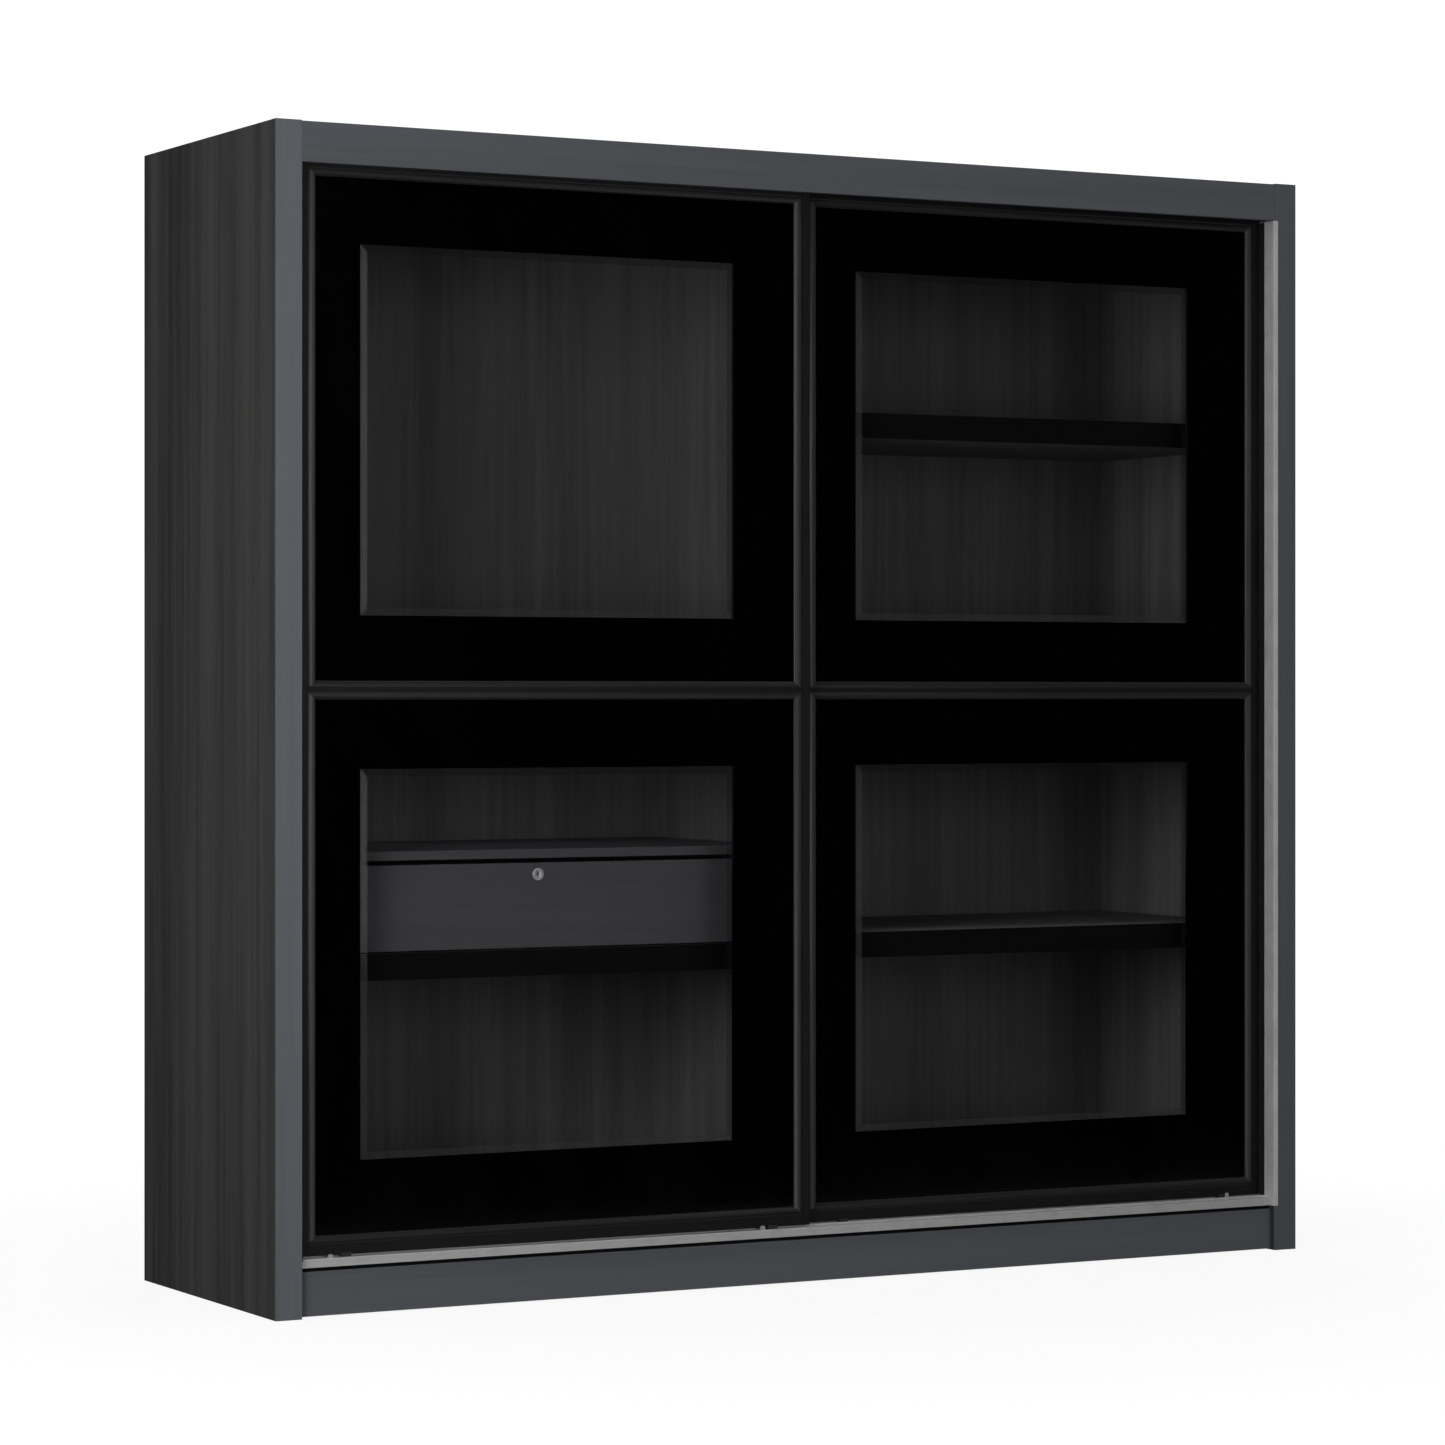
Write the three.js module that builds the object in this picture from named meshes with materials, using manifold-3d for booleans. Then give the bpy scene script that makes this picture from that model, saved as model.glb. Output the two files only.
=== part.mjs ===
// Sliding door wardrobe with two glazed doors, shelves, a hanging bay and a locking drawer.
// Millimetres, +Z up, front facing -Y, origin on the floor under the middle of the wardrobe.
// Inside the cabinet group, x runs from the left outer face, y from the front plane and z from the floor.

import * as THREE from 'three';
import Module from 'manifold-3d';
import { mergeVertices } from 'three/addons/utils/BufferGeometryUtils.js';

const manifold = await Module();
manifold.setup();

// Outer size and boards
const WIDTH = 2070;
const DEPTH = 600;
const HEIGHT = 2000;
const GAP = 0.3;
const SIDE_THICKNESS = 48;
const SHELF_THICKNESS = 46;
const DIVIDER_THICKNESS = 30;
const PANEL_THICKNESS = 18;
const TOP_THICKNESS = 24;
const BACK_THICKNESS = 6;
const BACK_SETBACK = 3;
const FASCIA_HEIGHT = 69.5;
const FASCIA_THICKNESS = 16;
const FASCIA_DROP = 1.2;
const PLINTH_HEIGHT = 76.7;
const PLINTH_LIFT = 2;
const PLINTH_SETBACK = 14;
const ARRIS = 1;

// Inside of the bays, heights are those of the top faces
const DIVIDER_FRONT = 80;
const SHELF_FRONT = 96;
const RIGHT_SHELF_TOPS = { lower: 613, middle: 1170, upper: 1551 };
const LEFT_SHELF_TOP = 600;
const DRAWER_BOARD_TOP = 774;
const DRAWER_BOARD_THICKNESS = 16;
const RAIL_RADIUS = 12.5;
const RAIL_WALL = 1.5;
const RAIL_HEIGHT = 1865;
const SOCKET = { flange: 3, flangeRadius: 21, radius: 16, depth: 14, ease: 1 };

// Doors
const DOOR_WIDTH = 990;
const DOOR_DEPTH = 22;
const DOOR_BOTTOM = 101.5;
const FRONT_LANE = 20;
const REAR_LANE = 46;
const SIDE_CLEARANCE = 0.5;
const STILE_WIDTH = 36;
const BEAD_WIDTH = 14;
const GROOVE_WIDTH = 4;
const GROOVE_DEPTH = 1.6;
const GROOVE_SLOPE = 0.8;
const PROFILE_EASE = 1;
const BOTTOM_RAIL = 38;
const LOWER_PANE = 895.5;
const MID_RAIL = 28.5;
const UPPER_PANE = 848.5;
const TOP_RAIL = 40;
const DOOR_HEIGHT = BOTTOM_RAIL + LOWER_PANE + MID_RAIL + UPPER_PANE + TOP_RAIL;
const GLASS_RECESS = 4;
const GLASS_THICKNESS = 5;
const GLASS_BITE = 6;
const WINDOW_LEFT = 114;
const WINDOW_WIDTH = 714;
const LOWER_WINDOW_MARGIN = 119;
const UPPER_WINDOW_MARGIN = 112;

// Running gear
const TRACK_FRONT = 12;
const TRACK_BACK = 68.5;
const TRACK_PLATE = 2.5;
const TRACK_LIP = 2;
const TRACK_LIP_BOTTOM = 83.5;
const TRACK_EASE = 0.6;
const RIB_WIDTH = 2.4;
const RIB_HEIGHT = 3.2;
const RIB_EASE = 0.5;
const HEAD_LEG_HEIGHT = 17;
const HEAD_LEG_WALL = 1.5;
const JAMB_THICKNESS = 1.7;
const JAMB_DEPTH = 70;
const JAMB_SETBACK = 1;
const ROLLER_INSET = 85;
const ROLLER_TREAD = 11;
const ROLLER_RIM = 12.3;
const ROLLER_WIDTH = 8;
const ROLLER_GROOVE = 3.6;
const ROLLER_PLAY = 0.2;
const AXLE_RADIUS = 3;
const BORE_RADIUS = 3.09;
const CARRIAGE_LENGTH = 44;
const CARRIAGE_WALL = 3;
const CARRIAGE_LIFT = 2;
const CARRIAGE_FOOT = { width: 18, reach: 2.2, drop: 2.6, clear: 0.4, nibTop: 3.6 };
const RAIL_CAVITY = { front: 2.5, back: 19.5, height: 28.5 };
const GUIDE_LENGTH = 36;
const GUIDE_INSET = 58;
const GUIDE_CHANNEL = { wall: 3, depth: 20 };
const GUIDE_FIN = { width: 6, height: 14.5, ease: 1, play: 1 };

// Drawer
const DRAWER_FACE = 100;
const DRAWER_MARGIN = 3;
const DRAWER_LIFT = 2.5;
const DRAWER_HEIGHT = 147.5;
const DRAWER_LENGTH = 440;
const DRAWER_FRONT_THICKNESS = 18;
const DRAWER_SIDE_THICKNESS = 12;
const DRAWER_SIDE_HEIGHT = 120;
const DRAWER_SIDE_INSET = 13;
const DRAWER_SIDE_BOTTOM = 9.5;
const DRAWER_GROOVE_DEPTH = 5;
const DRAWER_BACK_INSET = 2;
const DRAWER_BOTTOM_LIFT = 2;
const DRAWER_BOTTOM_THICKNESS = 6;
const RUNNER_BOTTOM = 61.5;
const RUNNER_HEIGHT = 18;
const RUNNER_REACH = 20.2;
const RUNNER_PLAY = 1;
const RUNNER_FRONT_GAP = 12;
const RUNNER_OVERRUN = 20;
const LOCK_BELOW_TOP = 20;
const LOCK_RADIUS = 9;
const LOCK_FLANGE = { width: 2, thickness: 2.5 };
const LOCK_REACH = 3;
const CAM = { tail: 5, tip: 24, halfWidth: 4.5, thickness: 2.5 };
const KEYWAY = { halfWidth: 0.9, halfHeight: 3.5, depth: 4 };

// Places worked out from the sizes above
const BAY_LEFT = SIDE_THICKNESS + GAP;
const BAY_RIGHT = WIDTH - SIDE_THICKNESS - GAP;
const DIVIDER_LEFT = WIDTH / 2 - DIVIDER_THICKNESS / 2;
const DIVIDER_RIGHT = WIDTH / 2 + DIVIDER_THICKNESS / 2;
const BACK_FRONT = DEPTH - BACK_SETBACK - BACK_THICKNESS;
const BAY_BACK = BACK_FRONT - GAP;
const FLOOR_BOTTOM = PLINTH_HEIGHT + GAP;
const FLOOR_TOP = FLOOR_BOTTOM + PANEL_THICKNESS;
const TOP_BOTTOM = HEIGHT - TOP_THICKNESS;
const TRACK_BOTTOM = FLOOR_TOP + GAP;
const TRACK_TOP = TRACK_BOTTOM + TRACK_PLATE;
const FASCIA_BOTTOM = HEIGHT - FASCIA_HEIGHT;
const DOOR_LEFT_STOP = SIDE_THICKNESS + GAP + JAMB_THICKNESS + SIDE_CLEARANCE;
const DOOR_RIGHT_STOP = WIDTH - DOOR_LEFT_STOP;
const DOOR_MIDDLE = DOOR_DEPTH / 2;
const UPPER_PANE_BOTTOM = BOTTOM_RAIL + LOWER_PANE + MID_RAIL;
const AXLE_HEIGHT = TRACK_TOP + RIB_HEIGHT + ROLLER_PLAY + ROLLER_TREAD - DOOR_BOTTOM;
const SLOT_FRONT = GLASS_RECESS - GAP;
const SLOT_BACK = GLASS_RECESS + GLASS_THICKNESS + GAP;
const SLOT_DEPTH = GLASS_BITE + GAP;
const DRAWER_WIDTH = DIVIDER_LEFT - SIDE_THICKNESS - 2 * DRAWER_MARGIN;
const DRAWER_FOOT = LEFT_SHELF_TOP + DRAWER_LIFT;

// Turns that lay an outline's extrusion along X or along Y
const ALONG_X = new THREE.Quaternion(0.5, 0.5, 0.5, 0.5);
const ALONG_Y = new THREE.Quaternion(-0.5, -0.5, -0.5, 0.5);

function finish(color, roughness, metalness) {
  return new THREE.MeshStandardMaterial({ color, roughness, metalness });
}

const sideLaminate = () => finish(0x32332f, 0.62, 0);
const frontLaminate = () => finish(0x474c51, 0.58, 0);
const innerLaminate = () => finish(0x2b2c2b, 0.66, 0);
const shelfLaminate = () => finish(0x16161a, 0.6, 0);
const drawerLaminate = () => finish(0x303034, 0.6, 0);
const doorPaint = () => finish(0x1c1c1c, 0.42, 0.35);
const blackGlass = () => finish(0x020202, 0.06, 0);
const clearGlass = () => new THREE.MeshStandardMaterial(
  { color: 0x1a1c1e, roughness: 0.04, metalness: 0, transparent: true, opacity: 0.35 });
const aluminium = () => finish(0x9a9a98, 0.34, 0.9);
const guidePlastic = () => finish(0xb9b9b4, 0.5, 0);
const rollerPlastic = () => finish(0xd6d4cc, 0.4, 0);
const chrome = () => finish(0xc9ccce, 0.16, 1);

function part(name, geometry, material) {
  const mesh = new THREE.Mesh(geometry, material);
  mesh.name = name;
  return mesh;
}

// A shape through a list of [a, b] corners.
function outline(corners) {
  return new THREE.Shape(corners.map(([a, b]) => new THREE.Vector2(a, b)));
}

function rectanglePath(left, bottom, right, top) {
  const path = new THREE.Path();
  path.moveTo(left, bottom);
  path.lineTo(right, bottom);
  path.lineTo(right, top);
  path.lineTo(left, top);
  path.closePath();
  return path;
}

function extrude(shape, length) {
  return new THREE.ExtrudeGeometry(shape, { depth: length, bevelEnabled: false, curveSegments: 24 });
}

// A board between two opposite corners, with its arrises eased by a small chamfer.
function board(name, material, [x0, y0, z0], [x1, y1, z1], chamfer = ARRIS) {
  const halfWidth = (x1 - x0) / 2 - chamfer;
  const halfDepth = (y1 - y0) / 2 - chamfer;
  const cut = chamfer * (Math.SQRT2 - 1);
  const shape = outline([
    [-halfWidth + cut, -halfDepth],
    [halfWidth - cut, -halfDepth],
    [halfWidth, -halfDepth + cut],
    [halfWidth, halfDepth - cut],
    [halfWidth - cut, halfDepth],
    [-halfWidth + cut, halfDepth],
    [-halfWidth, halfDepth - cut],
    [-halfWidth, -halfDepth + cut],
  ]);
  const geometry = new THREE.ExtrudeGeometry(shape, {
    depth: z1 - z0 - 2 * chamfer,
    bevelThickness: chamfer,
    bevelSize: chamfer,
    bevelSegments: 1,
  });
  const mesh = part(name, geometry, material);
  mesh.position.set((x0 + x1) / 2, (y0 + y1) / 2, z0 + chamfer);
  return mesh;
}

// A profile drawn in [y, z] and run along X from x0 to x1.
function profileAlongX(name, material, corners, x0, x1) {
  const mesh = part(name, extrude(outline(corners), x1 - x0), material);
  mesh.quaternion.copy(ALONG_X);
  mesh.position.x = x0;
  return mesh;
}

// Turns a closed geometry into a solid for joining and cutting.
function solid(geometry) {
  const bare = geometry.clone();
  bare.deleteAttribute('normal');
  bare.deleteAttribute('uv');
  const merged = mergeVertices(bare);
  return new manifold.Manifold(new manifold.Mesh({
    numProp: 3,
    vertProperties: new Float32Array(merged.attributes.position.array),
    triVerts: new Uint32Array(merged.index.array),
  }));
}

function geometryOf(body) {
  const mesh = body.getMesh();
  const geometry = new THREE.BufferGeometry();
  geometry.setAttribute('position', new THREE.BufferAttribute(new Float32Array(mesh.vertProperties), 3));
  geometry.setIndex(new THREE.BufferAttribute(new Uint32Array(mesh.triVerts), 1));
  geometry.computeVertexNormals();
  return geometry;
}

function boxBetween([x0, y0, z0], [x1, y1, z1]) {
  const box = new THREE.BoxGeometry(x1 - x0, y1 - y0, z1 - z0);
  return box.translate((x0 + x1) / 2, (y0 + y1) / 2, (z0 + z1) / 2);
}

// A cylinder along Y between two depths, centred on x = 0, z = 0.
function cylinderAlongY(radius, y0, y1, sides = 32) {
  const cylinder = new THREE.CylinderGeometry(radius, radius, y1 - y0, sides);
  return cylinder.translate(0, (y0 + y1) / 2, 0);
}

// Carcass boards

function sidePanels() {
  const left = board('left_side_panel', sideLaminate(), [0, 0, 0], [SIDE_THICKNESS, DEPTH, HEIGHT]);
  const right = board('right_side_panel', sideLaminate(), [WIDTH - SIDE_THICKNESS, 0, 0],
    [WIDTH, DEPTH, HEIGHT]);
  return [left, right];
}

function topAndFloor() {
  const top = board('top_panel', sideLaminate(), [BAY_LEFT, FASCIA_THICKNESS + GAP, TOP_BOTTOM],
    [BAY_RIGHT, BAY_BACK, HEIGHT]);
  const fascia = board('top_fascia', frontLaminate(), [BAY_LEFT, 0, FASCIA_BOTTOM],
    [BAY_RIGHT, FASCIA_THICKNESS, HEIGHT - FASCIA_DROP]);
  const floor = board('bottom_panel', innerLaminate(), [BAY_LEFT, FRONT_LANE, FLOOR_BOTTOM],
    [BAY_RIGHT, BAY_BACK, FLOOR_TOP]);
  return [top, fascia, floor];
}

function plinths() {
  const frontBack = PLINTH_SETBACK + PANEL_THICKNESS;
  const rearBack = BACK_FRONT - PLINTH_SETBACK;
  return [
    board('plinth_front', frontLaminate(), [BAY_LEFT, PLINTH_SETBACK, PLINTH_LIFT],
      [BAY_RIGHT, frontBack, PLINTH_HEIGHT]),
    board('plinth_rear', innerLaminate(), [BAY_LEFT, rearBack - PANEL_THICKNESS, PLINTH_LIFT],
      [BAY_RIGHT, rearBack, PLINTH_HEIGHT]),
  ];
}

function backPanels() {
  const top = HEIGHT - BACK_SETBACK;
  const middle = WIDTH / 2;
  return [
    board('back_panel_left', innerLaminate(), [BAY_LEFT, BACK_FRONT, FLOOR_BOTTOM],
      [middle - GAP / 2, DEPTH - BACK_SETBACK, top], ARRIS / 2),
    board('back_panel_right', innerLaminate(), [middle + GAP / 2, BACK_FRONT, FLOOR_BOTTOM],
      [BAY_RIGHT, DEPTH - BACK_SETBACK, top], ARRIS / 2),
  ];
}

function centreDivider() {
  return board('centre_divider', innerLaminate(), [DIVIDER_LEFT, DIVIDER_FRONT, FLOOR_TOP + GAP],
    [DIVIDER_RIGHT, BAY_BACK, TOP_BOTTOM - GAP]);
}

function shelves() {
  const rightShelves = Object.entries(RIGHT_SHELF_TOPS).map(([level, top]) => board(
    `right_${level}_shelf`, shelfLaminate(),
    [DIVIDER_RIGHT + GAP, SHELF_FRONT, top - SHELF_THICKNESS], [BAY_RIGHT, BAY_BACK, top]));
  const leftShelf = board('left_lower_shelf', shelfLaminate(),
    [BAY_LEFT, SHELF_FRONT, LEFT_SHELF_TOP - SHELF_THICKNESS],
    [DIVIDER_LEFT - GAP, BAY_BACK, LEFT_SHELF_TOP]);
  const drawerBoard = board('drawer_top_board', drawerLaminate(),
    [BAY_LEFT, SHELF_FRONT, DRAWER_BOARD_TOP - DRAWER_BOARD_THICKNESS],
    [DIVIDER_LEFT - GAP, BAY_BACK, DRAWER_BOARD_TOP]);
  return [...rightShelves, leftShelf, drawerBoard];
}

// Hanging rail: an open tube whose ends sit in two cups.

function hangingRail() {
  const left = BAY_LEFT + SOCKET.flange + GAP;
  const right = DIVIDER_LEFT - GAP - SOCKET.flange - GAP;
  const ring = new THREE.Shape();
  ring.absarc(0, 0, RAIL_RADIUS, 0, 2 * Math.PI);
  const hole = new THREE.Path();
  hole.absarc(0, 0, RAIL_RADIUS - RAIL_WALL, 0, 2 * Math.PI);
  ring.holes.push(hole);
  const tube = part('hanging_rail', extrude(ring, right - left), chrome());
  tube.quaternion.copy(ALONG_X);
  tube.position.set(left, DEPTH / 2, RAIL_HEIGHT);

  const mouth = RAIL_RADIUS + GAP;
  const cup = [
    [0, 0],
    [SOCKET.flangeRadius, 0],
    [SOCKET.flangeRadius, SOCKET.flange - SOCKET.ease],
    [SOCKET.flangeRadius - SOCKET.ease, SOCKET.flange],
    [SOCKET.radius, SOCKET.flange],
    [SOCKET.radius, SOCKET.depth],
    [mouth, SOCKET.depth],
    [mouth, SOCKET.flange],
    [0, SOCKET.flange],
  ];
  const cupGeometry = () => new THREE.LatheGeometry(cup.map(([r, h]) => new THREE.Vector2(r, h)), 48);
  const leftCup = part('rail_socket_left', cupGeometry(), chrome());
  leftCup.rotation.z = -Math.PI / 2;
  leftCup.position.set(BAY_LEFT, DEPTH / 2, RAIL_HEIGHT);
  const rightCup = part('rail_socket_right', cupGeometry(), chrome());
  rightCup.rotation.z = Math.PI / 2;
  rightCup.position.set(DIVIDER_LEFT - GAP, DEPTH / 2, RAIL_HEIGHT);
  return [tube, leftCup, rightCup];
}

// Tracks and jambs

// Floor rail: a plate with a front lip and one rib under the middle of each door.
function bottomTrack() {
  const ribs = [FRONT_LANE, REAR_LANE].flatMap((lane) => {
    const front = lane + DOOR_MIDDLE - RIB_WIDTH / 2;
    const top = TRACK_TOP + RIB_HEIGHT;
    return [
      [front, TRACK_TOP],
      [front, top - RIB_EASE],
      [front + RIB_EASE, top],
      [front + RIB_WIDTH - RIB_EASE, top],
      [front + RIB_WIDTH, top - RIB_EASE],
      [front + RIB_WIDTH, TRACK_TOP],
    ];
  });
  const section = [
    [TRACK_FRONT, TRACK_LIP_BOTTOM],
    [TRACK_FRONT, TRACK_TOP - TRACK_EASE],
    [TRACK_FRONT + TRACK_EASE, TRACK_TOP],
    ...ribs,
    [TRACK_BACK, TRACK_TOP],
    [TRACK_BACK, TRACK_BOTTOM],
    [TRACK_FRONT + TRACK_LIP, TRACK_BOTTOM],
    [TRACK_FRONT + TRACK_LIP, TRACK_LIP_BOTTOM],
  ];
  const start = BAY_LEFT + JAMB_THICKNESS + GAP;
  return profileAlongX('bottom_track', aluminium(), section, start, WIDTH - start);
}

// Head rail: a plate with two narrow channels that hold the doors' top guides.
function topTrack() {
  const plateTop = TOP_BOTTOM - GAP;
  const plateBottom = plateTop - TRACK_PLATE;
  const legBottom = plateBottom - HEAD_LEG_HEIGHT;
  const halfChannel = GUIDE_FIN.width / 2 + GUIDE_FIN.play;
  const legs = [FRONT_LANE, REAR_LANE].flatMap((lane) => {
    const middle = lane + DOOR_MIDDLE;
    return [middle - halfChannel - HEAD_LEG_WALL, middle + halfChannel].flatMap((front) => [
      [front, plateBottom],
      [front, legBottom],
      [front + HEAD_LEG_WALL, legBottom],
      [front + HEAD_LEG_WALL, plateBottom],
    ]);
  });
  const section = [
    [FRONT_LANE, plateTop],
    [FRONT_LANE, plateBottom],
    ...legs,
    [REAR_LANE + DOOR_DEPTH, plateBottom],
    [REAR_LANE + DOOR_DEPTH, plateTop],
  ];
  return profileAlongX('top_track', aluminium(), section, BAY_LEFT, BAY_RIGHT);
}

// Flat aluminium strips on the side panels, where the doors close against them.
function jambStrips() {
  const bottom = TRACK_BOTTOM;
  const top = FASCIA_BOTTOM - GAP;
  const front = JAMB_SETBACK;
  const back = JAMB_SETBACK + JAMB_DEPTH;
  const ease = JAMB_THICKNESS / 4;
  return [
    board('left_jamb_strip', aluminium(), [BAY_LEFT, front, bottom],
      [BAY_LEFT + JAMB_THICKNESS, back, top], ease),
    board('right_jamb_strip', aluminium(), [BAY_RIGHT - JAMB_THICKNESS, front, bottom],
      [BAY_RIGHT, back, top], ease),
  ];
}

// Door profiles. Each section is drawn from the door's face (first value 0) to its back, and across the
// profile from its outer edge (second value 0) to the edge that holds the glass.

// The front edge line of a bead that ends at the height inner, with the groove on its outer side.
function beadFront(inner) {
  const bead = inner - BEAD_WIDTH;
  const groove = bead - GROOVE_WIDTH;
  return [
    [0, groove],
    [GROOVE_DEPTH, groove + GROOVE_SLOPE],
    [GROOVE_DEPTH, bead - GROOVE_SLOPE],
    [0, bead],
    [0, inner - PROFILE_EASE],
    [PROFILE_EASE, inner],
  ];
}

function glassSlot(inner) {
  return [
    [SLOT_FRONT, inner],
    [SLOT_FRONT, inner - SLOT_DEPTH],
    [SLOT_BACK, inner - SLOT_DEPTH],
    [SLOT_BACK, inner],
  ];
}

function easedBack(inner) {
  return [
    [DOOR_DEPTH - PROFILE_EASE, inner],
    [DOOR_DEPTH, inner - PROFILE_EASE],
  ];
}

function stileSection() {
  return [
    [PROFILE_EASE, 0],
    [0, PROFILE_EASE],
    ...beadFront(STILE_WIDTH),
    ...glassSlot(STILE_WIDTH),
    ...easedBack(STILE_WIDTH),
    [DOOR_DEPTH, PROFILE_EASE],
    [DOOR_DEPTH - PROFILE_EASE, 0],
  ];
}

// The bottom rail is open below, where the roller carriages sit.
function bottomRailSection() {
  const { front, back, height } = RAIL_CAVITY;
  return [
    [front, 0],
    [0, 0],
    ...beadFront(BOTTOM_RAIL),
    ...glassSlot(BOTTOM_RAIL),
    ...easedBack(BOTTOM_RAIL),
    [DOOR_DEPTH, 0],
    [back, 0],
    [back, height],
    [front, height],
  ];
}

// The top rail, drawn upside down, has a channel for the guides.
function topRailSection() {
  const front = GUIDE_CHANNEL.wall;
  const back = DOOR_DEPTH - GUIDE_CHANNEL.wall;
  return [
    [front, 0],
    [0, 0],
    ...beadFront(TOP_RAIL),
    ...glassSlot(TOP_RAIL),
    ...easedBack(TOP_RAIL),
    [DOOR_DEPTH, 0],
    [back, 0],
    [back, GUIDE_CHANNEL.depth],
    [front, GUIDE_CHANNEL.depth],
  ];
}

// Two beads with a groove between them, and a glass slot above and below.
function midRailSection() {
  const bead = (MID_RAIL - GROOVE_WIDTH) / 2;
  const flip = (corners) => corners.map(([y, z]) => [y, MID_RAIL - z]).reverse();
  return [
    ...flip(glassSlot(MID_RAIL)),
    [PROFILE_EASE, 0],
    [0, PROFILE_EASE],
    [0, bead],
    [GROOVE_DEPTH, bead + GROOVE_SLOPE],
    [GROOVE_DEPTH, bead + GROOVE_WIDTH - GROOVE_SLOPE],
    [0, bead + GROOVE_WIDTH],
    [0, MID_RAIL - PROFILE_EASE],
    [PROFILE_EASE, MID_RAIL],
    ...glassSlot(MID_RAIL),
    ...easedBack(MID_RAIL),
    [DOOR_DEPTH, PROFILE_EASE],
    [DOOR_DEPTH - PROFILE_EASE, 0],
  ];
}

function doorProfiles(door) {
  const stileShape = (across) => outline(stileSection().map(([depth, width]) => [across(width), depth]));
  const left = part(`${door}_stile_left`, extrude(stileShape((w) => w), DOOR_HEIGHT), doorPaint());
  const right = part(`${door}_stile_right`, extrude(stileShape((w) => DOOR_WIDTH - w), DOOR_HEIGHT),
    doorPaint());
  const railStart = STILE_WIDTH + GAP;
  const railEnd = DOOR_WIDTH - railStart;
  const rail = (level, section, height) => {
    const mesh = profileAlongX(`${door}_${level}_rail`, doorPaint(), section, railStart, railEnd);
    mesh.position.z = height;
    return mesh;
  };
  const topSection = topRailSection().map(([y, z]) => [y, TOP_RAIL - z]);
  return [
    left,
    right,
    rail('bottom', bottomRailSection(), 0),
    rail('mid', midRailSection(), BOTTOM_RAIL + LOWER_PANE),
    rail('top', topSection, UPPER_PANE_BOTTOM + UPPER_PANE),
  ];
}

// One glazed field: a black bordered sheet with a window opening, and the clear pane that fills it.
function glazing(door, level, bottom, paneHeight, margin) {
  const windowTop = paneHeight - margin;
  const windowRight = WINDOW_LEFT + WINDOW_WIDTH;
  const edge = STILE_WIDTH - GLASS_BITE;
  const sheet = outline([
    [edge, -GLASS_BITE],
    [DOOR_WIDTH - edge, -GLASS_BITE],
    [DOOR_WIDTH - edge, paneHeight + GLASS_BITE],
    [edge, paneHeight + GLASS_BITE],
  ]);
  sheet.holes.push(rectanglePath(WINDOW_LEFT, margin, windowRight, windowTop));
  const border = part(`${door}_${level}_border`, extrude(sheet, GLASS_THICKNESS), blackGlass());
  border.rotation.x = Math.PI / 2;
  border.position.set(0, GLASS_RECESS + GLASS_THICKNESS, bottom);
  const pane = part(`${door}_${level}_window`, boxBetween(
    [WINDOW_LEFT + GAP, GLASS_RECESS, bottom + margin + GAP],
    [windowRight - GAP, GLASS_RECESS + GLASS_THICKNESS, bottom + windowTop - GAP]), clearGlass());
  return [border, pane];
}

// Grooved roller that straddles a rib of the floor rail, on its own axis along Y.
function rollerGeometry() {
  const half = ROLLER_WIDTH / 2;
  const grooveHalf = ROLLER_GROOVE / 2;
  const ease = 0.6;
  const section = [
    [BORE_RADIUS, -half],
    [ROLLER_RIM - ease, -half],
    [ROLLER_RIM, -half + ease],
    [ROLLER_RIM, -grooveHalf - ease],
    [ROLLER_TREAD, -grooveHalf],
    [ROLLER_TREAD, grooveHalf],
    [ROLLER_RIM, grooveHalf + ease],
    [ROLLER_RIM, half - ease],
    [ROLLER_RIM - ease, half],
    [BORE_RADIUS, half],
    [BORE_RADIUS, -half],
  ];
  return new THREE.LatheGeometry(section.map(([r, y]) => new THREE.Vector2(r, y)), 32);
}

// Bracket with two cheeks, the roller's axle, and a foot that hooks under the rail's front wall.
function carriageGeometry() {
  const front = RAIL_CAVITY.front + GAP;
  const back = RAIL_CAVITY.back - GAP;
  const top = RAIL_CAVITY.height - GAP;
  const half = CARRIAGE_LENGTH / 2;
  const past = 1;
  const { reach, drop, clear, nibTop } = CARRIAGE_FOOT;
  const footHalf = CARRIAGE_FOOT.width / 2;
  const cheekBack = front + CARRIAGE_WALL;
  const block = solid(boxBetween([-half, front, CARRIAGE_LIFT], [half, back, top]));
  const slot = solid(boxBetween([-half - past, cheekBack, CARRIAGE_LIFT - past],
    [half + past, back - CARRIAGE_WALL, top - CARRIAGE_WALL]));
  const foot = solid(boxBetween([-footHalf, -reach, -drop], [footHalf, cheekBack, -clear]));
  const leg = solid(boxBetween([-footHalf, front, -drop], [footHalf, cheekBack, CARRIAGE_LIFT + past]));
  const nib = solid(boxBetween([-footHalf, -reach, -drop], [footHalf, -clear, nibTop]));
  const axle = solid(cylinderAlongY(AXLE_RADIUS, front, back).translate(0, 0, AXLE_HEIGHT));
  return geometryOf(block.subtract(slot).add(foot).add(leg).add(nib).add(axle));
}

function runningGear(door) {
  const places = { left: ROLLER_INSET, right: DOOR_WIDTH - ROLLER_INSET };
  return Object.entries(places).flatMap(([side, x]) => {
    const carriage = part(`${door}_carriage_${side}`, carriageGeometry(), guidePlastic());
    carriage.position.x = x;
    const roller = part(`${door}_roller_${side}`, rollerGeometry(), rollerPlastic());
    roller.position.set(x, DOOR_MIDDLE, AXLE_HEIGHT);
    return [carriage, roller];
  });
}

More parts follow.
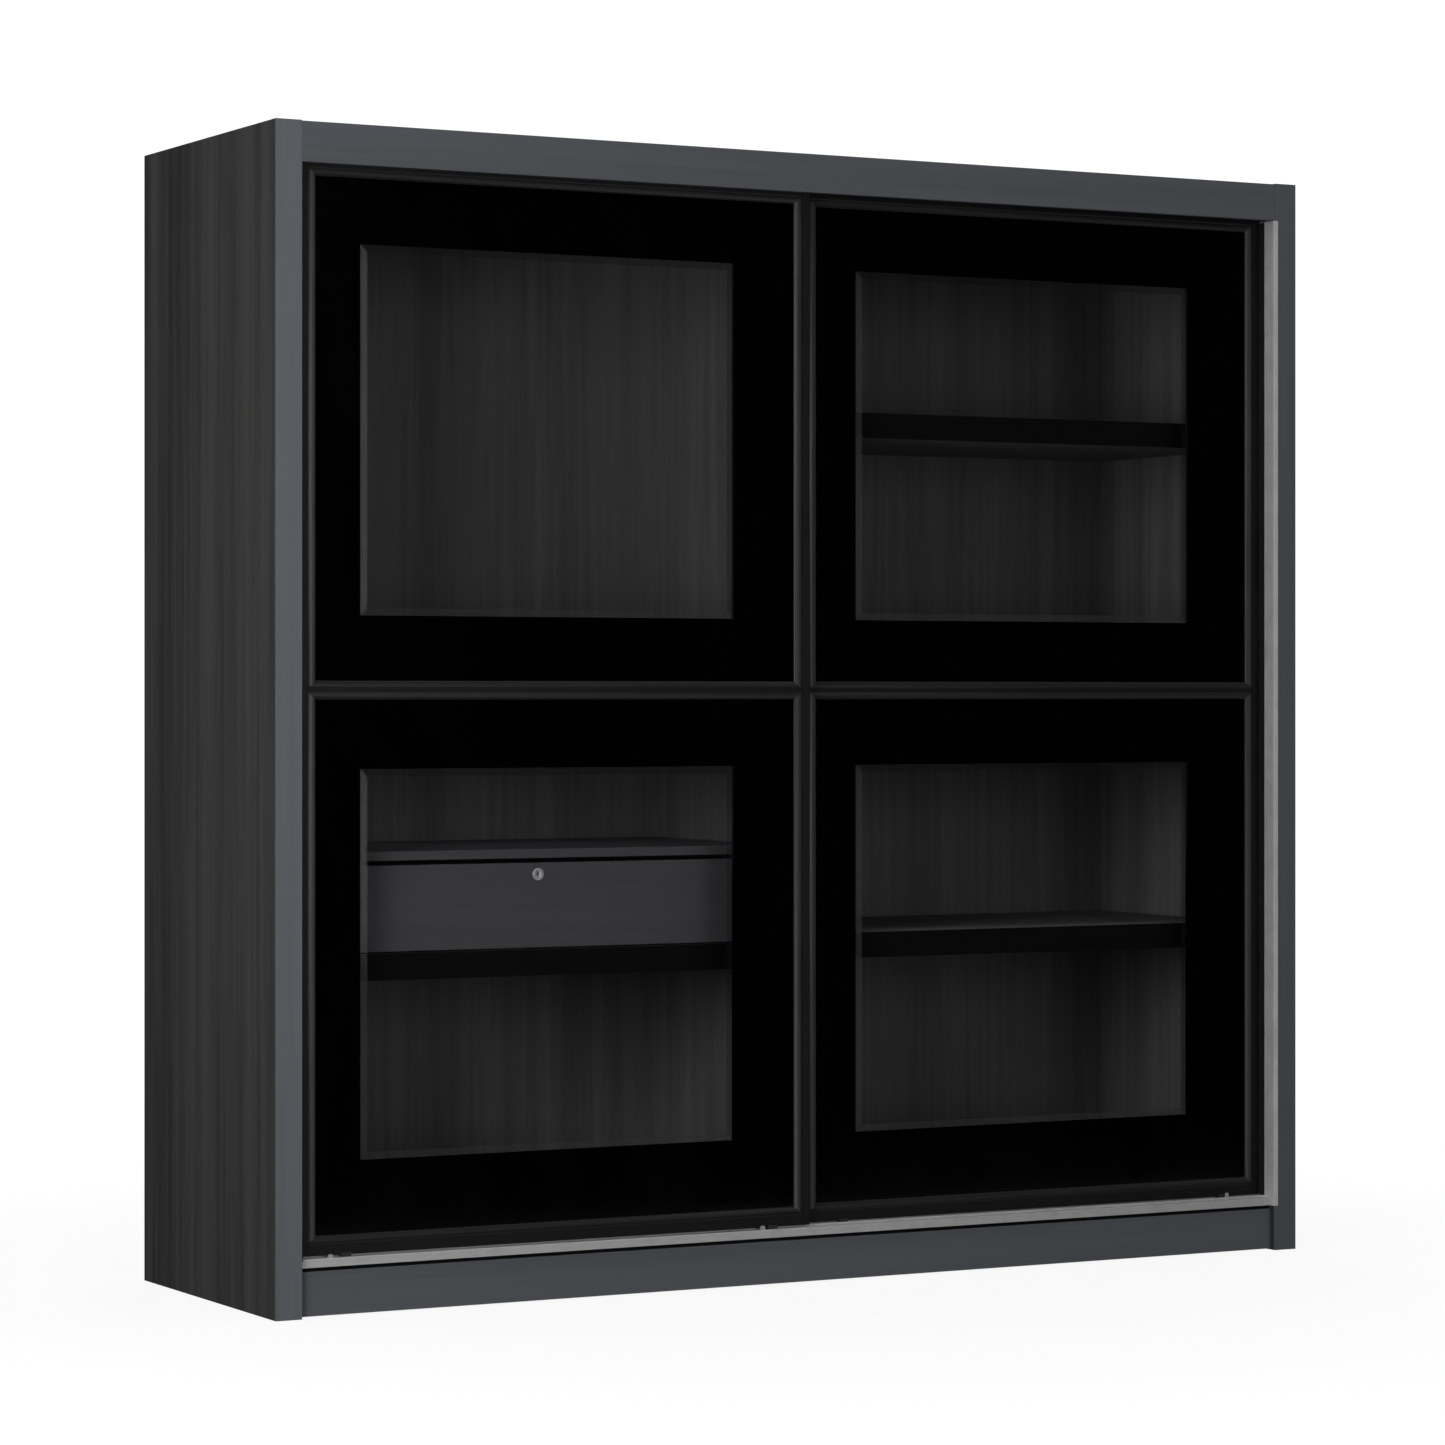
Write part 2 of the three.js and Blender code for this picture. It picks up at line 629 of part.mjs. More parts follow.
// Plastic blocks in the top rail's channel, with a fin that runs in the head rail.
function topGuides(door) {
  const bottom = DOOR_HEIGHT - GUIDE_CHANNEL.depth + GAP;
  const front = GUIDE_CHANNEL.wall + GAP;
  const back = DOOR_DEPTH - front;
  const finFront = DOOR_MIDDLE - GUIDE_FIN.width / 2;
  const finBack = DOOR_MIDDLE + GUIDE_FIN.width / 2;
  const finTop = DOOR_HEIGHT + GUIDE_FIN.height;
  const section = [
    [front, bottom],
    [back, bottom],
    [back, DOOR_HEIGHT],
    [finBack, DOOR_HEIGHT],
    [finBack, finTop - GUIDE_FIN.ease],
    [finBack - GUIDE_FIN.ease, finTop],
    [finFront + GUIDE_FIN.ease, finTop],
    [finFront, finTop - GUIDE_FIN.ease],
    [finFront, DOOR_HEIGHT],
    [front, DOOR_HEIGHT],
  ];
  const places = { left: GUIDE_INSET, right: DOOR_WIDTH - GUIDE_INSET };
  return Object.entries(places).map(([side, x]) => profileAlongX(
    `${door}_top_guide_${side}`, guidePlastic(), section, x - GUIDE_LENGTH / 2, x + GUIDE_LENGTH / 2));
}

// Inside a door group, x runs from the door's left edge, y from its face and z from its bottom edge.
function slidingDoor(door, x, lane) {
  const group = new THREE.Group();
  group.position.set(x, lane, DOOR_BOTTOM);
  group.add(
    ...doorProfiles(door),
    ...glazing(door, 'lower', BOTTOM_RAIL, LOWER_PANE, LOWER_WINDOW_MARGIN),
    ...glazing(door, 'upper', UPPER_PANE_BOTTOM, UPPER_PANE, UPPER_WINDOW_MARGIN),
    ...runningGear(door),
    ...topGuides(door));
  return group;
}

// Drawer. Inside its group, x runs from the front's left edge, y from its face and z from its bottom.

function drawerFront() {
  const face = outline([[0, 0], [DRAWER_WIDTH, 0], [DRAWER_WIDTH, DRAWER_HEIGHT], [0, DRAWER_HEIGHT]]);
  const bore = new THREE.Path();
  bore.absarc(DRAWER_WIDTH / 2, DRAWER_HEIGHT - LOCK_BELOW_TOP, LOCK_RADIUS + GAP, 0, 2 * Math.PI);
  face.holes.push(bore);
  const front = part('drawer_front', extrude(face, DRAWER_FRONT_THICKNESS), drawerLaminate());
  front.rotation.x = Math.PI / 2;
  front.position.y = DRAWER_FRONT_THICKNESS;
  return front;
}

// The sides have a groove in their outer faces for the runner strips.
function drawerSides() {
  const bottom = DRAWER_SIDE_BOTTOM;
  const top = bottom + DRAWER_SIDE_HEIGHT;
  const grooveBottom = RUNNER_BOTTOM - RUNNER_PLAY;
  const grooveTop = RUNNER_BOTTOM + RUNNER_HEIGHT + RUNNER_PLAY;
  const section = [
    [bottom, 0],
    [grooveBottom, 0],
    [grooveBottom, DRAWER_GROOVE_DEPTH],
    [grooveTop, DRAWER_GROOVE_DEPTH],
    [grooveTop, 0],
    [top, 0],
    [top, DRAWER_SIDE_THICKNESS],
    [bottom, DRAWER_SIDE_THICKNESS],
  ];
  const length = DRAWER_LENGTH - DRAWER_FRONT_THICKNESS - GAP;
  const place = (name, shape, x) => {
    const mesh = part(name, extrude(outline(shape), length), drawerLaminate());
    mesh.quaternion.copy(ALONG_Y);
    mesh.position.set(x, DRAWER_FRONT_THICKNESS + GAP, 0);
    return mesh;
  };
  const mirrored = section.map(([z, x]) => [z, -x]);
  return [
    place('drawer_side_left', section, DRAWER_SIDE_INSET),
    place('drawer_side_right', mirrored, DRAWER_WIDTH - DRAWER_SIDE_INSET),
  ];
}

function drawerBackAndBottom() {
  const left = DRAWER_SIDE_INSET + DRAWER_SIDE_THICKNESS + GAP;
  const right = DRAWER_WIDTH - left;
  const back = DRAWER_LENGTH - DRAWER_BACK_INSET;
  const bottom = DRAWER_SIDE_BOTTOM + DRAWER_BOTTOM_LIFT;
  const bottomTop = bottom + DRAWER_BOTTOM_THICKNESS;
  return [
    board('drawer_bottom', innerLaminate(), [left, DRAWER_FRONT_THICKNESS + GAP, bottom],
      [right, back, bottomTop], ARRIS / 2),
    board('drawer_back', drawerLaminate(), [left, back - DRAWER_SIDE_THICKNESS, bottomTop + GAP],
      [right, back, DRAWER_SIDE_BOTTOM + DRAWER_SIDE_HEIGHT]),
  ];
}

// Cam lock: a flanged barrel with a keyway, and the cam on its inner end.
function lockCylinder() {
  const flangeFront = -LOCK_FLANGE.thickness;
  const barrelEnd = DRAWER_FRONT_THICKNESS + LOCK_REACH;
  const bite = 0.5;
  const flange = solid(cylinderAlongY(LOCK_RADIUS + LOCK_FLANGE.width, flangeFront, -GAP, 40));
  const barrel = solid(cylinderAlongY(LOCK_RADIUS, -GAP - bite, barrelEnd, 40));
  const cam = solid(boxBetween([-CAM.tail, barrelEnd - bite, -CAM.halfWidth],
    [CAM.tip, barrelEnd + CAM.thickness, CAM.halfWidth]));
  const keyway = solid(boxBetween([-KEYWAY.halfWidth, flangeFront - bite, -KEYWAY.halfHeight],
    [KEYWAY.halfWidth, flangeFront + KEYWAY.depth, KEYWAY.halfHeight]));
  const lock = part('lock_cylinder', geometryOf(flange.add(barrel).add(cam).subtract(keyway)), chrome());
  lock.position.set(DRAWER_WIDTH / 2, 0, DRAWER_HEIGHT - LOCK_BELOW_TOP);
  return lock;
}

function drawer() {
  const group = new THREE.Group();
  group.position.set(SIDE_THICKNESS + DRAWER_MARGIN, DRAWER_FACE, DRAWER_FOOT);
  group.add(drawerFront(), ...drawerSides(), ...drawerBackAndBottom(), lockCylinder());
  return group;
}

// Fixed strips on the side panel and the divider that carry the drawer.
function drawerRunners() {
  const bottom = DRAWER_FOOT + RUNNER_BOTTOM;
  const front = DRAWER_FACE + DRAWER_FRONT_THICKNESS + RUNNER_FRONT_GAP;
  const back = DRAWER_FACE + DRAWER_LENGTH + RUNNER_OVERRUN;
  return [
    board('drawer_runner_left', guidePlastic(), [BAY_LEFT, front, bottom],
      [BAY_LEFT + RUNNER_REACH, back, bottom + RUNNER_HEIGHT]),
    board('drawer_runner_right', guidePlastic(), [DIVIDER_LEFT - GAP - RUNNER_REACH, front, bottom],
      [DIVIDER_LEFT - GAP, back, bottom + RUNNER_HEIGHT]),
  ];
}

const cabinet = new THREE.Group();
cabinet.position.set(-WIDTH / 2, -DEPTH / 2, 0);
cabinet.add(
  ...sidePanels(),
  ...topAndFloor(),
  ...plinths(),
  ...backPanels(),
  centreDivider(),
  ...shelves(),
  ...hangingRail(),
  bottomTrack(),
  topTrack(),
  ...jambStrips(),
  ...drawerRunners(),
  slidingDoor('left_door', DOOR_LEFT_STOP, FRONT_LANE),
  slidingDoor('right_door', DOOR_RIGHT_STOP - DOOR_WIDTH, REAR_LANE),
  drawer());

const wardrobe = new THREE.Group();
wardrobe.add(cabinet);

export default wardrobe;
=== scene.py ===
"""Sliding door wardrobe: its looks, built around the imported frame.

Metres, +Z up, front facing -Y, origin on the floor under the middle. Places come from the frame's node
boxes. Sizes below are in millimetres where MM multiplies them.
"""

import math

import bmesh
import bpy
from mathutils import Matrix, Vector


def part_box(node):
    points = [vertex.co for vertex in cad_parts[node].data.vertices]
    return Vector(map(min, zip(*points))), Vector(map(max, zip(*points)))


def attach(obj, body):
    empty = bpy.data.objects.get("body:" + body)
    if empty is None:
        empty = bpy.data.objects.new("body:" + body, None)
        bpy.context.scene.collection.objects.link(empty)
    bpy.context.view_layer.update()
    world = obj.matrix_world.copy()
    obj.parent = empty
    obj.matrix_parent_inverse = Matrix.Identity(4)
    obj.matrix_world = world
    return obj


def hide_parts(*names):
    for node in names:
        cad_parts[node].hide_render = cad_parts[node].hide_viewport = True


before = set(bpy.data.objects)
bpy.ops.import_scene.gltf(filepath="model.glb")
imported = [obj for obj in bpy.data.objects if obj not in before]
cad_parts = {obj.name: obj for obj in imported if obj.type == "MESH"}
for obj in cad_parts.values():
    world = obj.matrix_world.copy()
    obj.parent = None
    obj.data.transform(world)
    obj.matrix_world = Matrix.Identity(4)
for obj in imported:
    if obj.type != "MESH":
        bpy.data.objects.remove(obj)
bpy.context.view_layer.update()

MM = 0.001
DOORS = ("left_door", "right_door")
SIDES = ("left", "right")
INWARD = {"left": 1, "right": -1}
LEVELS = ("lower", "upper")
SHARP_ANGLE = 38

# Boards: their rounded edges, and the bands on their fronts
ARRIS = 0.9 * MM
THIN_ARRIS = 0.4 * MM
DRAWER_ARRIS = 1.5 * MM
BAND = 1.2 * MM
SHELF_BAND = 2.0 * MM
# In front of this Y the side boards' inner faces keep the dark outer laminate as painted shade by the door
# opening; behind it they have the colour of the bays
INNER_SHADE_BACK = -0.230

# Back: joining strip and nails
JOINING_STRIP = [(15 * MM, 0), (13 * MM, 1.4 * MM), (4 * MM, 1.8 * MM)]
NAIL_PITCH = 150 * MM
NAIL_EDGE = 12 * MM
NAIL_HEAD = [(2.6 * MM, -0.5 * MM), (2.6 * MM, 0.35 * MM), (2.0 * MM, 0.6 * MM)]

# Hanging rail and the cups that hold it
RAIL_WALL = 1.5 * MM
CUP = {"play": 0.3 * MM, "floor": 3 * MM, "depth": 14 * MM, "rim": 16 * MM, "ease": 0.9 * MM,
       "screw_ring": 18.4 * MM}

# Door profiles: face widths, then the glazing beads and the rebate behind them, back from the door's face.
# The bottom rail's hollow is low in front, under the bead, and high behind it, where the rollers are.
STILE_FACE = 30.5 * MM
BOTTOM_RAIL_FACE = 32.5 * MM
TOP_RAIL_FACE = 40 * MM
MID_RAIL_FACE = 30 * MM
PROFILE_DEPTH = 22 * MM
SIDE_BEAD = 14 * MM
LEVEL_BEAD = 11.8 * MM
BEAD_GROOVE = 2.6 * MM
MID_GROOVE = 1.2 * MM
MID_TONGUE_FACE = 1.5 * MM
BEAD_CREST = 0.3 * MM
BEAD_FOOT = 2.9 * MM
BEAD_BACK = 3.9 * MM
REBATE_BACK = 9.3 * MM
RAIL_CAVITY = {"front": 2.5 * MM, "low": 16.6 * MM, "middle": 5.5 * MM, "high": 24.5 * MM,
               "back": 19.5 * MM}
GUIDE_CHANNEL = {"wall": 3 * MM, "depth": 20 * MM}
HAIRLINE = 0.05 * MM
LEFT_DOOR_TRIM = 9 * MM

# Distances across each profile to its glazing rebate and to its inner edge
STILE = (STILE_FACE - SIDE_BEAD - BEAD_GROOVE, STILE_FACE)
BOTTOM_RAIL = (BOTTOM_RAIL_FACE - LEVEL_BEAD - BEAD_GROOVE, BOTTOM_RAIL_FACE)
TOP_RAIL = (TOP_RAIL_FACE - LEVEL_BEAD - BEAD_GROOVE, TOP_RAIL_FACE)

# Glass
GLASS_BITE = 6 * MM
GLASS_EDGE = 0.4 * MM
PANE_GAP = 0.3 * MM
PANE_BEVEL = 12 * MM
PANE_BEVEL_DROP = 1.4 * MM

# Rollers: (radius, distance from the middle) of half a bearing in millimetres, and the carriages
BEARING = ((3.1, 3.4), (4.4, 3.4), (4.6, 3.0), (6.1, 3.0), (6.3, 3.4), (7.15, 3.4))
BEARING_SEAT = 7.2 * MM
TREAD_DEPTH = 1.3 * MM
CARRIAGE = {"gap": 0.3 * MM, "wall": 3 * MM, "end": 8 * MM, "lift": 2 * MM, "foot": 18 * MM,
            "clear": 0.4 * MM, "hook": 6.2 * MM, "axle": 2.95 * MM}

# Right jamb profile: its lip wraps the front of the side panel, and a pile strip seals the rear door
JAMB_LIP_WIDTH = 8 * MM
JAMB_LIP_THICKNESS = 1.2 * MM
JAMB_PLAY = 0.2 * MM
PILE_DEPTH = 16 * MM
PILE_THICKNESS = 0.5 * MM

# Tracks and jambs: the ribs' height above the plate, screws, and the clips' (X, height, thickness)
LANE_HEIGHT = 3.2 * MM
TRACK_SCREWS = 7
TRACK_SCREW_INSET = 60 * MM
FRONT_CLIPS = ((-0.929, 6 * MM, 3.2 * MM), (-0.101, 7.5 * MM, 3.2 * MM))
REAR_CLIP = (0.908, 10 * MM, 1.3 * MM)
CLIP_FOOT = 4.6 * MM
CLIP_TOP = 3.2 * MM
JAMB_SCREWS = 5
JAMB_SCREW_INSET = 120 * MM

# Lock
ROSETTE_RADIUS = 11 * MM
LOCK_BORE = 9.3 * MM
BARREL_LENGTH = 21 * MM
KEYWAY = (0.9 * MM, 3.5 * MM)
CAM_HALF = 4.5 * MM
CAM_THICKNESS = 2.5 * MM

# The camera stands in front of the left half, level, and looks a little to the right
CAMERA_PLACE = (-3.955, -7.248, 1.041)
CAMERA_YAW = -28.45
CAMERA_LENS = 112.46
CAMERA_SHIFT = -0.019

# Brightness of the backdrop as seen, as a fill, and in reflections
BACKDROP = 1.06
FILL = 0.11
MIRRORED_FILL = 0.05


# ---- materials


def link_or_set(tree, socket, value):
    if isinstance(value, bpy.types.NodeSocket):
        tree.links.new(value, socket)
    else:
        socket.default_value = value


def add_node(tree, kind, settings=None, **inputs):
    """A new node; an input's underscores stand for spaces, and a socket given as its value is linked."""
    made = tree.nodes.new(kind)
    for key, value in (settings or {}).items():
        setattr(made, key, value)
    for key, value in inputs.items():
        link_or_set(tree, made.inputs[key.replace("_", " ")], value)
    return made


def new_material(name, **principled):
    material = bpy.data.materials.new(name)
    material.use_nodes = True
    tree = material.node_tree
    shader = tree.nodes["Principled BSDF"]
    for key, value in principled.items():
        shader.inputs[key.replace("_", " ")].default_value = value
    return material, tree, shader


def coordinates(tree, scale=(1, 1, 1), place=(0, 0, 0)):
    """The piece's own coordinates in metres, scaled and moved."""
    source = add_node(tree, "ShaderNodeTexCoord").outputs["Object"]
    mapping = add_node(tree, "ShaderNodeMapping", Vector=source, Scale=scale, Location=place)
    return mapping.outputs["Vector"]


def noise(tree, vector, scale, detail=3.0, roughness=0.55, distortion=0.0):
    made = add_node(tree, "ShaderNodeTexNoise", Vector=vector, Scale=scale, Detail=detail,
                    Roughness=roughness, Distortion=distortion)
    return made.outputs["Fac"]


def math_node(tree, operation, a, b):
    made = tree.nodes.new("ShaderNodeMath")
    made.operation = operation
    link_or_set(tree, made.inputs[0], a)
    link_or_set(tree, made.inputs[1], b)
    return made.outputs[0]


def weighted(tree, *pairs):
    """The sum of sockets times their weights."""
    total = None
    for socket, weight in pairs:
        term = math_node(tree, "MULTIPLY", socket, weight)
        total = term if total is None else math_node(tree, "ADD", total, term)
    return total


def spread(tree, value, low, high, to_low, to_high, curve="LINEAR"):
    made = add_node(tree, "ShaderNodeMapRange", {"interpolation_type": curve}, Value=value,
                    From_Min=low, From_Max=high, To_Min=to_low, To_Max=to_high)
    return made.outputs["Result"]


def ramp(tree, factor, stops):
    """A colour ramp through (place, colour) stops."""
    made = add_node(tree, "ShaderNodeValToRGB", Fac=factor)
    elements = made.color_ramp.elements
    while len(elements) < len(stops):
        elements.new(0.5)
    for element, (place, colour) in zip(elements, stops):
        element.position = place
        element.color = (*colour, 1)
    return made.outputs["Color"]


def bump(tree, shader, height, distance, strength=0.6):
    made = add_node(tree, "ShaderNodeBump", Height=height, Strength=strength, Distance=distance)
    tree.links.new(made.outputs["Normal"], shader.inputs["Normal"])


def shade(colour, factor):
    return tuple(channel * factor for channel in colour)


def stretched(axis, factor):
    """A scale that draws a pattern out along one axis."""
    return tuple(factor if name == axis else 1 for name in "XYZ")


def paint_shader(tree, shader, colour, roughness):
    tree.links.new(colour, shader.inputs["Base Color"])
    tree.links.new(roughness, shader.inputs["Roughness"])


def laminate(name, colour, grain, contrast=0.3, roughness=0.55, seed=0, wear_and_highlight=0.0, specular=0.3):
    """Printed wood grain along one axis: broad bands, streaks and fine pores. A lighter tone can be mixed
    into an arris in patches: edge wear, and a painted highlight along the rounded edge.
    """
    material, tree, shader = new_material(name, Specular_IOR_Level=specular)
    vector = coordinates(tree, stretched(grain, 0.022), (seed * 1.37, seed * 0.83, seed * 2.11))
    bands = noise(tree, vector, 9, 2, 0.5, 0.3)
    streaks = noise(tree, vector, 30, 6, 0.66, 0.15)
    lines = noise(tree, vector, 110, 4, 0.65)
    pores = noise(tree, vector, 520, 3, 0.7)
    figure = weighted(tree, (bands, 0.31), (streaks, 0.35), (lines, 0.22), (pores, 0.12))
    stops = [
        (0.41, shade(colour, 1 - contrast)),
        (0.475, shade(colour, 1 - contrast * 0.3)),
        (0.525, shade(colour, 1 + contrast * 0.3)),
        (0.60, shade(colour, 1 + contrast)),
    ]
    tint = ramp(tree, figure, stops)
    # Lightens the arris in patches: edge wear, and a painted highlight along the rounded edge
    if wear_and_highlight:
        wear_and_highlight_noise = noise(tree, coordinates(tree), 34, 4, 0.65)
        wear_and_highlight_mask = spread(tree, wear_and_highlight_noise, 0.42, 0.72, 0.15 * wear_and_highlight, wear_and_highlight)
        mix = tree.nodes.new("ShaderNodeMix")
        mix.data_type = "RGBA"
        tree.links.new(wear_and_highlight_mask, mix.inputs[0])
        tree.links.new(tint, mix.inputs[6])
        mix.inputs[7].default_value = (*ARRIS_WEAR_AND_HIGHLIGHT, 1)
        tint = mix.outputs[2]
    sheen = weighted(tree, (streaks, 0.6), (pores, 0.4))
    gloss = spread(tree, sheen, 0.35, 0.65, roughness - 0.06, roughness + 0.08)
    paint_shader(tree, shader, tint, gloss)
    bump(tree, shader, weighted(tree, (lines, 0.45), (pores, 0.55)), 0.00022, 0.5)
    return material


def hardboard(name):
    """Unfaced back of a panel: brown pressed fibre with a mesh pattern."""
    material, tree, shader = new_material(name, Specular_IOR_Level=0.25)
    vector = coordinates(tree)
    cloud = noise(tree, vector, 7, 4, 0.6)
    fibre = noise(tree, vector, 260, 5, 0.7)
    flecks = noise(tree, vector, 900, 2, 0.6)
    figure = weighted(tree, (cloud, 0.3), (fibre, 0.45), (flecks, 0.25))
    stops = [(0.36, (0.10, 0.062, 0.036)), (0.5, (0.155, 0.10, 0.062)), (0.66, (0.22, 0.150, 0.095))]
    paint_shader(tree, shader, ramp(tree, figure, stops), spread(tree, fibre, 0.3, 0.7, 0.62, 0.85))
    weave = add_node(tree, "ShaderNodeTexVoronoi", {"feature": "SMOOTH_F1"}, Vector=vector, Scale=650)
    bump(tree, shader, weave.outputs["Distance"], 0.0003, 0.5)
    return material


def coated_metal(name, colour, roughness, grain="Z", metallic=0.3, specular=0.4):
    """Satin coating on extruded aluminium: faint drawn lines under a fine skin."""
    material, tree, shader = new_material(name, Metallic=metallic, Specular_IOR_Level=specular)
    drawn = noise(tree, coordinates(tree, stretched(grain, 0.02)), 900, 3, 0.6)
    skin = noise(tree, coordinates(tree), 2600, 2, 0.5)
    cloud = noise(tree, coordinates(tree), 5, 3, 0.5)
    figure = weighted(tree, (drawn, 0.4), (cloud, 0.6))
    stops = [(0.38, shade(colour, 0.86)), (0.5, colour), (0.64, shade(colour, 1.16))]
    gloss = spread(tree, weighted(tree, (drawn, 0.5), (cloud, 0.5)), 0.36, 0.64,
                   roughness - 0.05, roughness + 0.07)
    paint_shader(tree, shader, ramp(tree, figure, stops), gloss)
    bump(tree, shader, weighted(tree, (drawn, 0.5), (skin, 0.5)), 0.00005, 0.35)
    return material


def bare_metal(name, colour, roughness, grain="X", lines=1100, depth=0.00004, metallic=1.0):
    """Anodised or polished metal with lines along one axis and a few handling marks."""
    material, tree, shader = new_material(name, Metallic=metallic)
    drawn = noise(tree, coordinates(tree, stretched(grain, 0.015)), lines, 4, 0.65)
    marks = noise(tree, coordinates(tree), 24, 5, 0.6, 0.4)
    figure = weighted(tree, (drawn, 0.6), (marks, 0.4))
    stops = [(0.34, shade(colour, 0.8)), (0.5, colour), (0.66, shade(colour, 1.12))]
    gloss = spread(tree, figure, 0.35, 0.65, roughness * 0.75, roughness * 1.3)
    paint_shader(tree, shader, ramp(tree, figure, stops), gloss)
    bump(tree, shader, drawn, depth, 0.4)
    return material


def moulded(name, colour, roughness, scale=1500, depth=0.00006):
    """Moulded plastic or rubber: fine spark texture and slight mottling."""
    material, tree, shader = new_material(name, Specular_IOR_Level=0.45)
    skin = noise(tree, coordinates(tree), scale, 2, 0.6)
    cloud = noise(tree, coordinates(tree), 40, 3, 0.5)
    figure = weighted(tree, (skin, 0.35), (cloud, 0.65))
    stops = [(0.36, shade(colour, 0.86)), (0.5, colour), (0.64, shade(colour, 1.1))]
    gloss = spread(tree, skin, 0.35, 0.65, roughness - 0.05, roughness + 0.08)
    paint_shader(tree, shader, ramp(tree, figure, stops), gloss)
    bump(tree, shader, skin, depth, 0.5)
    return material


def lacquered_glass(name):
    """Glass with black lacquer behind it: deep black, mirror smooth but for faint wipe marks."""
    material, tree, shader = new_material(name, Specular_IOR_Level=0.05, IOR=1.5)
    wipes = noise(tree, coordinates(tree, (1, 1, 0.35)), 6, 5, 0.62, 0.8)
    dust = noise(tree, coordinates(tree), 1300, 2, 0.5)
    stops = [(0.4, (0.0002, 0.0002, 0.0002)), (0.7, (0.0004, 0.0004, 0.0004))]
    gloss = spread(tree, weighted(tree, (wipes, 0.85), (dust, 0.15)), 0.4, 0.7, 0.035, 0.09)
    paint_shader(tree, shader, ramp(tree, wipes, stops), gloss)
    return material


def window_glass(name, colour, gloss, specular, alpha):
    """Smoke tinted float glass, seen through."""
    material, tree, shader = new_material(name, Specular_IOR_Level=specular, IOR=1.5, Alpha=alpha)
    wipes = noise(tree, coordinates(tree, (1, 1, 0.4)), 5, 5, 0.6, 0.7)
    stops = [(0.4, shade(colour, 0.8)), (0.7, shade(colour, 1.25))]
    paint_shader(tree, shader, ramp(tree, wipes, stops), spread(tree, wipes, 0.4, 0.7, gloss, gloss * 2))
    return material


# Light tone mixed into the arrises: edge wear, and a painted highlight on the rounded edges
ARRIS_WEAR_AND_HIGHLIGHT = (0.30, 0.31, 0.32)
CHARCOAL = (0.066, 0.0661, 0.0645)
BLUE_GREY = (0.114, 0.122, 0.137)
# A lighter copy of the blue grey for the left band: painted light, as the light falls from the left
LIT_LEFT_BAND = (0.150, 0.159, 0.178)
INNER = (0.222, 0.223, 0.222)
SHELF_EDGE = (0.007, 0.007, 0.0073)
DRAWER = (0.122, 0.122, 0.134)

side_look = laminate("side_laminate", CHARCOAL, "Z", 0.40, 0.56)
side_end_look = laminate("side_laminate_end", CHARCOAL, "Y", 0.25, 0.56, seed=4)
side_arris = laminate("side_laminate_arris", CHARCOAL, "Z", 0.3, 0.5, wear_and_highlight=0.16)
top_look = laminate("top_laminate", CHARCOAL, "X", 0.42, 0.56, seed=3)
top_arris = laminate("top_laminate_arris", CHARCOAL, "X", 0.3, 0.5, seed=3, wear_and_highlight=0.16)
upright_look = laminate("front_laminate_upright", BLUE_GREY, "Z", 0.10, 0.50, seed=5)
lit_left_band_look = laminate("front_laminate_left_painted_light", LIT_LEFT_BAND, "Z", 0.10, 0.50, seed=5)
upright_arris = laminate("front_laminate_upright_arris", BLUE_GREY, "Z", 0.1, 0.45, seed=5, wear_and_highlight=0.3)
level_look = laminate("front_laminate_level", BLUE_GREY, "X", 0.12, 0.50, seed=6)
level_arris = laminate("front_laminate_level_arris", BLUE_GREY, "X", 0.1, 0.45, seed=6, wear_and_highlight=0.3)
inner_look = laminate("inner_laminate", INNER, "Z", 0.24, 0.6, seed=8)
inner_arris = laminate("inner_laminate_arris", INNER, "Z", 0.2, 0.55, seed=8, wear_and_highlight=0.12)
floor_look = laminate("inner_laminate_level", INNER, "X", 0.3, 0.6, seed=9)
floor_arris = laminate("inner_laminate_level_arris", INNER, "X", 0.2, 0.55, seed=9, wear_and_highlight=0.12)
shelf_edge_look = laminate("shelf_edge_band", SHELF_EDGE, "X", 0.15, 0.5, seed=11, specular=0.06)
shelf_edge_arris = laminate("shelf_edge_arris", SHELF_EDGE, "X", 0.1, 0.45, seed=11, wear_and_highlight=0.04,
                            specular=0.1)
drawer_look = laminate("drawer_laminate", DRAWER, "X", 0.10, 0.52, seed=13)
drawer_arris = laminate("drawer_laminate_arris", DRAWER, "X", 0.1, 0.46, seed=13, wear_and_highlight=0.45)
fibre_look = hardboard("hardboard_back")
profile_look = coated_metal("door_profile", (0.0095, 0.0095, 0.0098), 0.42, metallic=0.2, specular=0.2)
profile_level_look = coated_metal("door_profile_level", (0.0085, 0.0085, 0.0088), 0.42, "X",
                                  metallic=0.2, specular=0.18)
bead_look = coated_metal("door_bead", (0.055, 0.055, 0.056), 0.32)
# A darker copy of the bead for its top and bottom runs: painted shade
shaded_bead_level_look = coated_metal("door_bead_level_painted_shade", (0.022, 0.022, 0.0225), 0.40, "X",
                               metallic=0.2, specular=0.25)
track_look = bare_metal("anodised_track", (0.56, 0.56, 0.555), 0.42, "X", metallic=0.3)
jamb_look = bare_metal("anodised_jamb", (0.76, 0.76, 0.75), 0.42, "Z", metallic=0.25)
chrome_look = bare_metal("rail_chrome", (0.62, 0.63, 0.65), 0.14, "X", lines=1600, depth=0.00001)
lock_look = bare_metal("lock_chrome", (0.82, 0.83, 0.85), 0.22, "Y", lines=1600, depth=0.00001,
                       metallic=0.5)
screw_look = bare_metal("screw_zinc", (0.50, 0.50, 0.49), 0.3, "Y", lines=1400, depth=0.00002)
guide_look = moulded("guide_plastic", (0.020, 0.020, 0.020), 0.5)
runner_look = moulded("runner_plastic", (0.30, 0.30, 0.29), 0.45)
roller_look = moulded("roller_acetal", (0.66, 0.65, 0.60), 0.35)
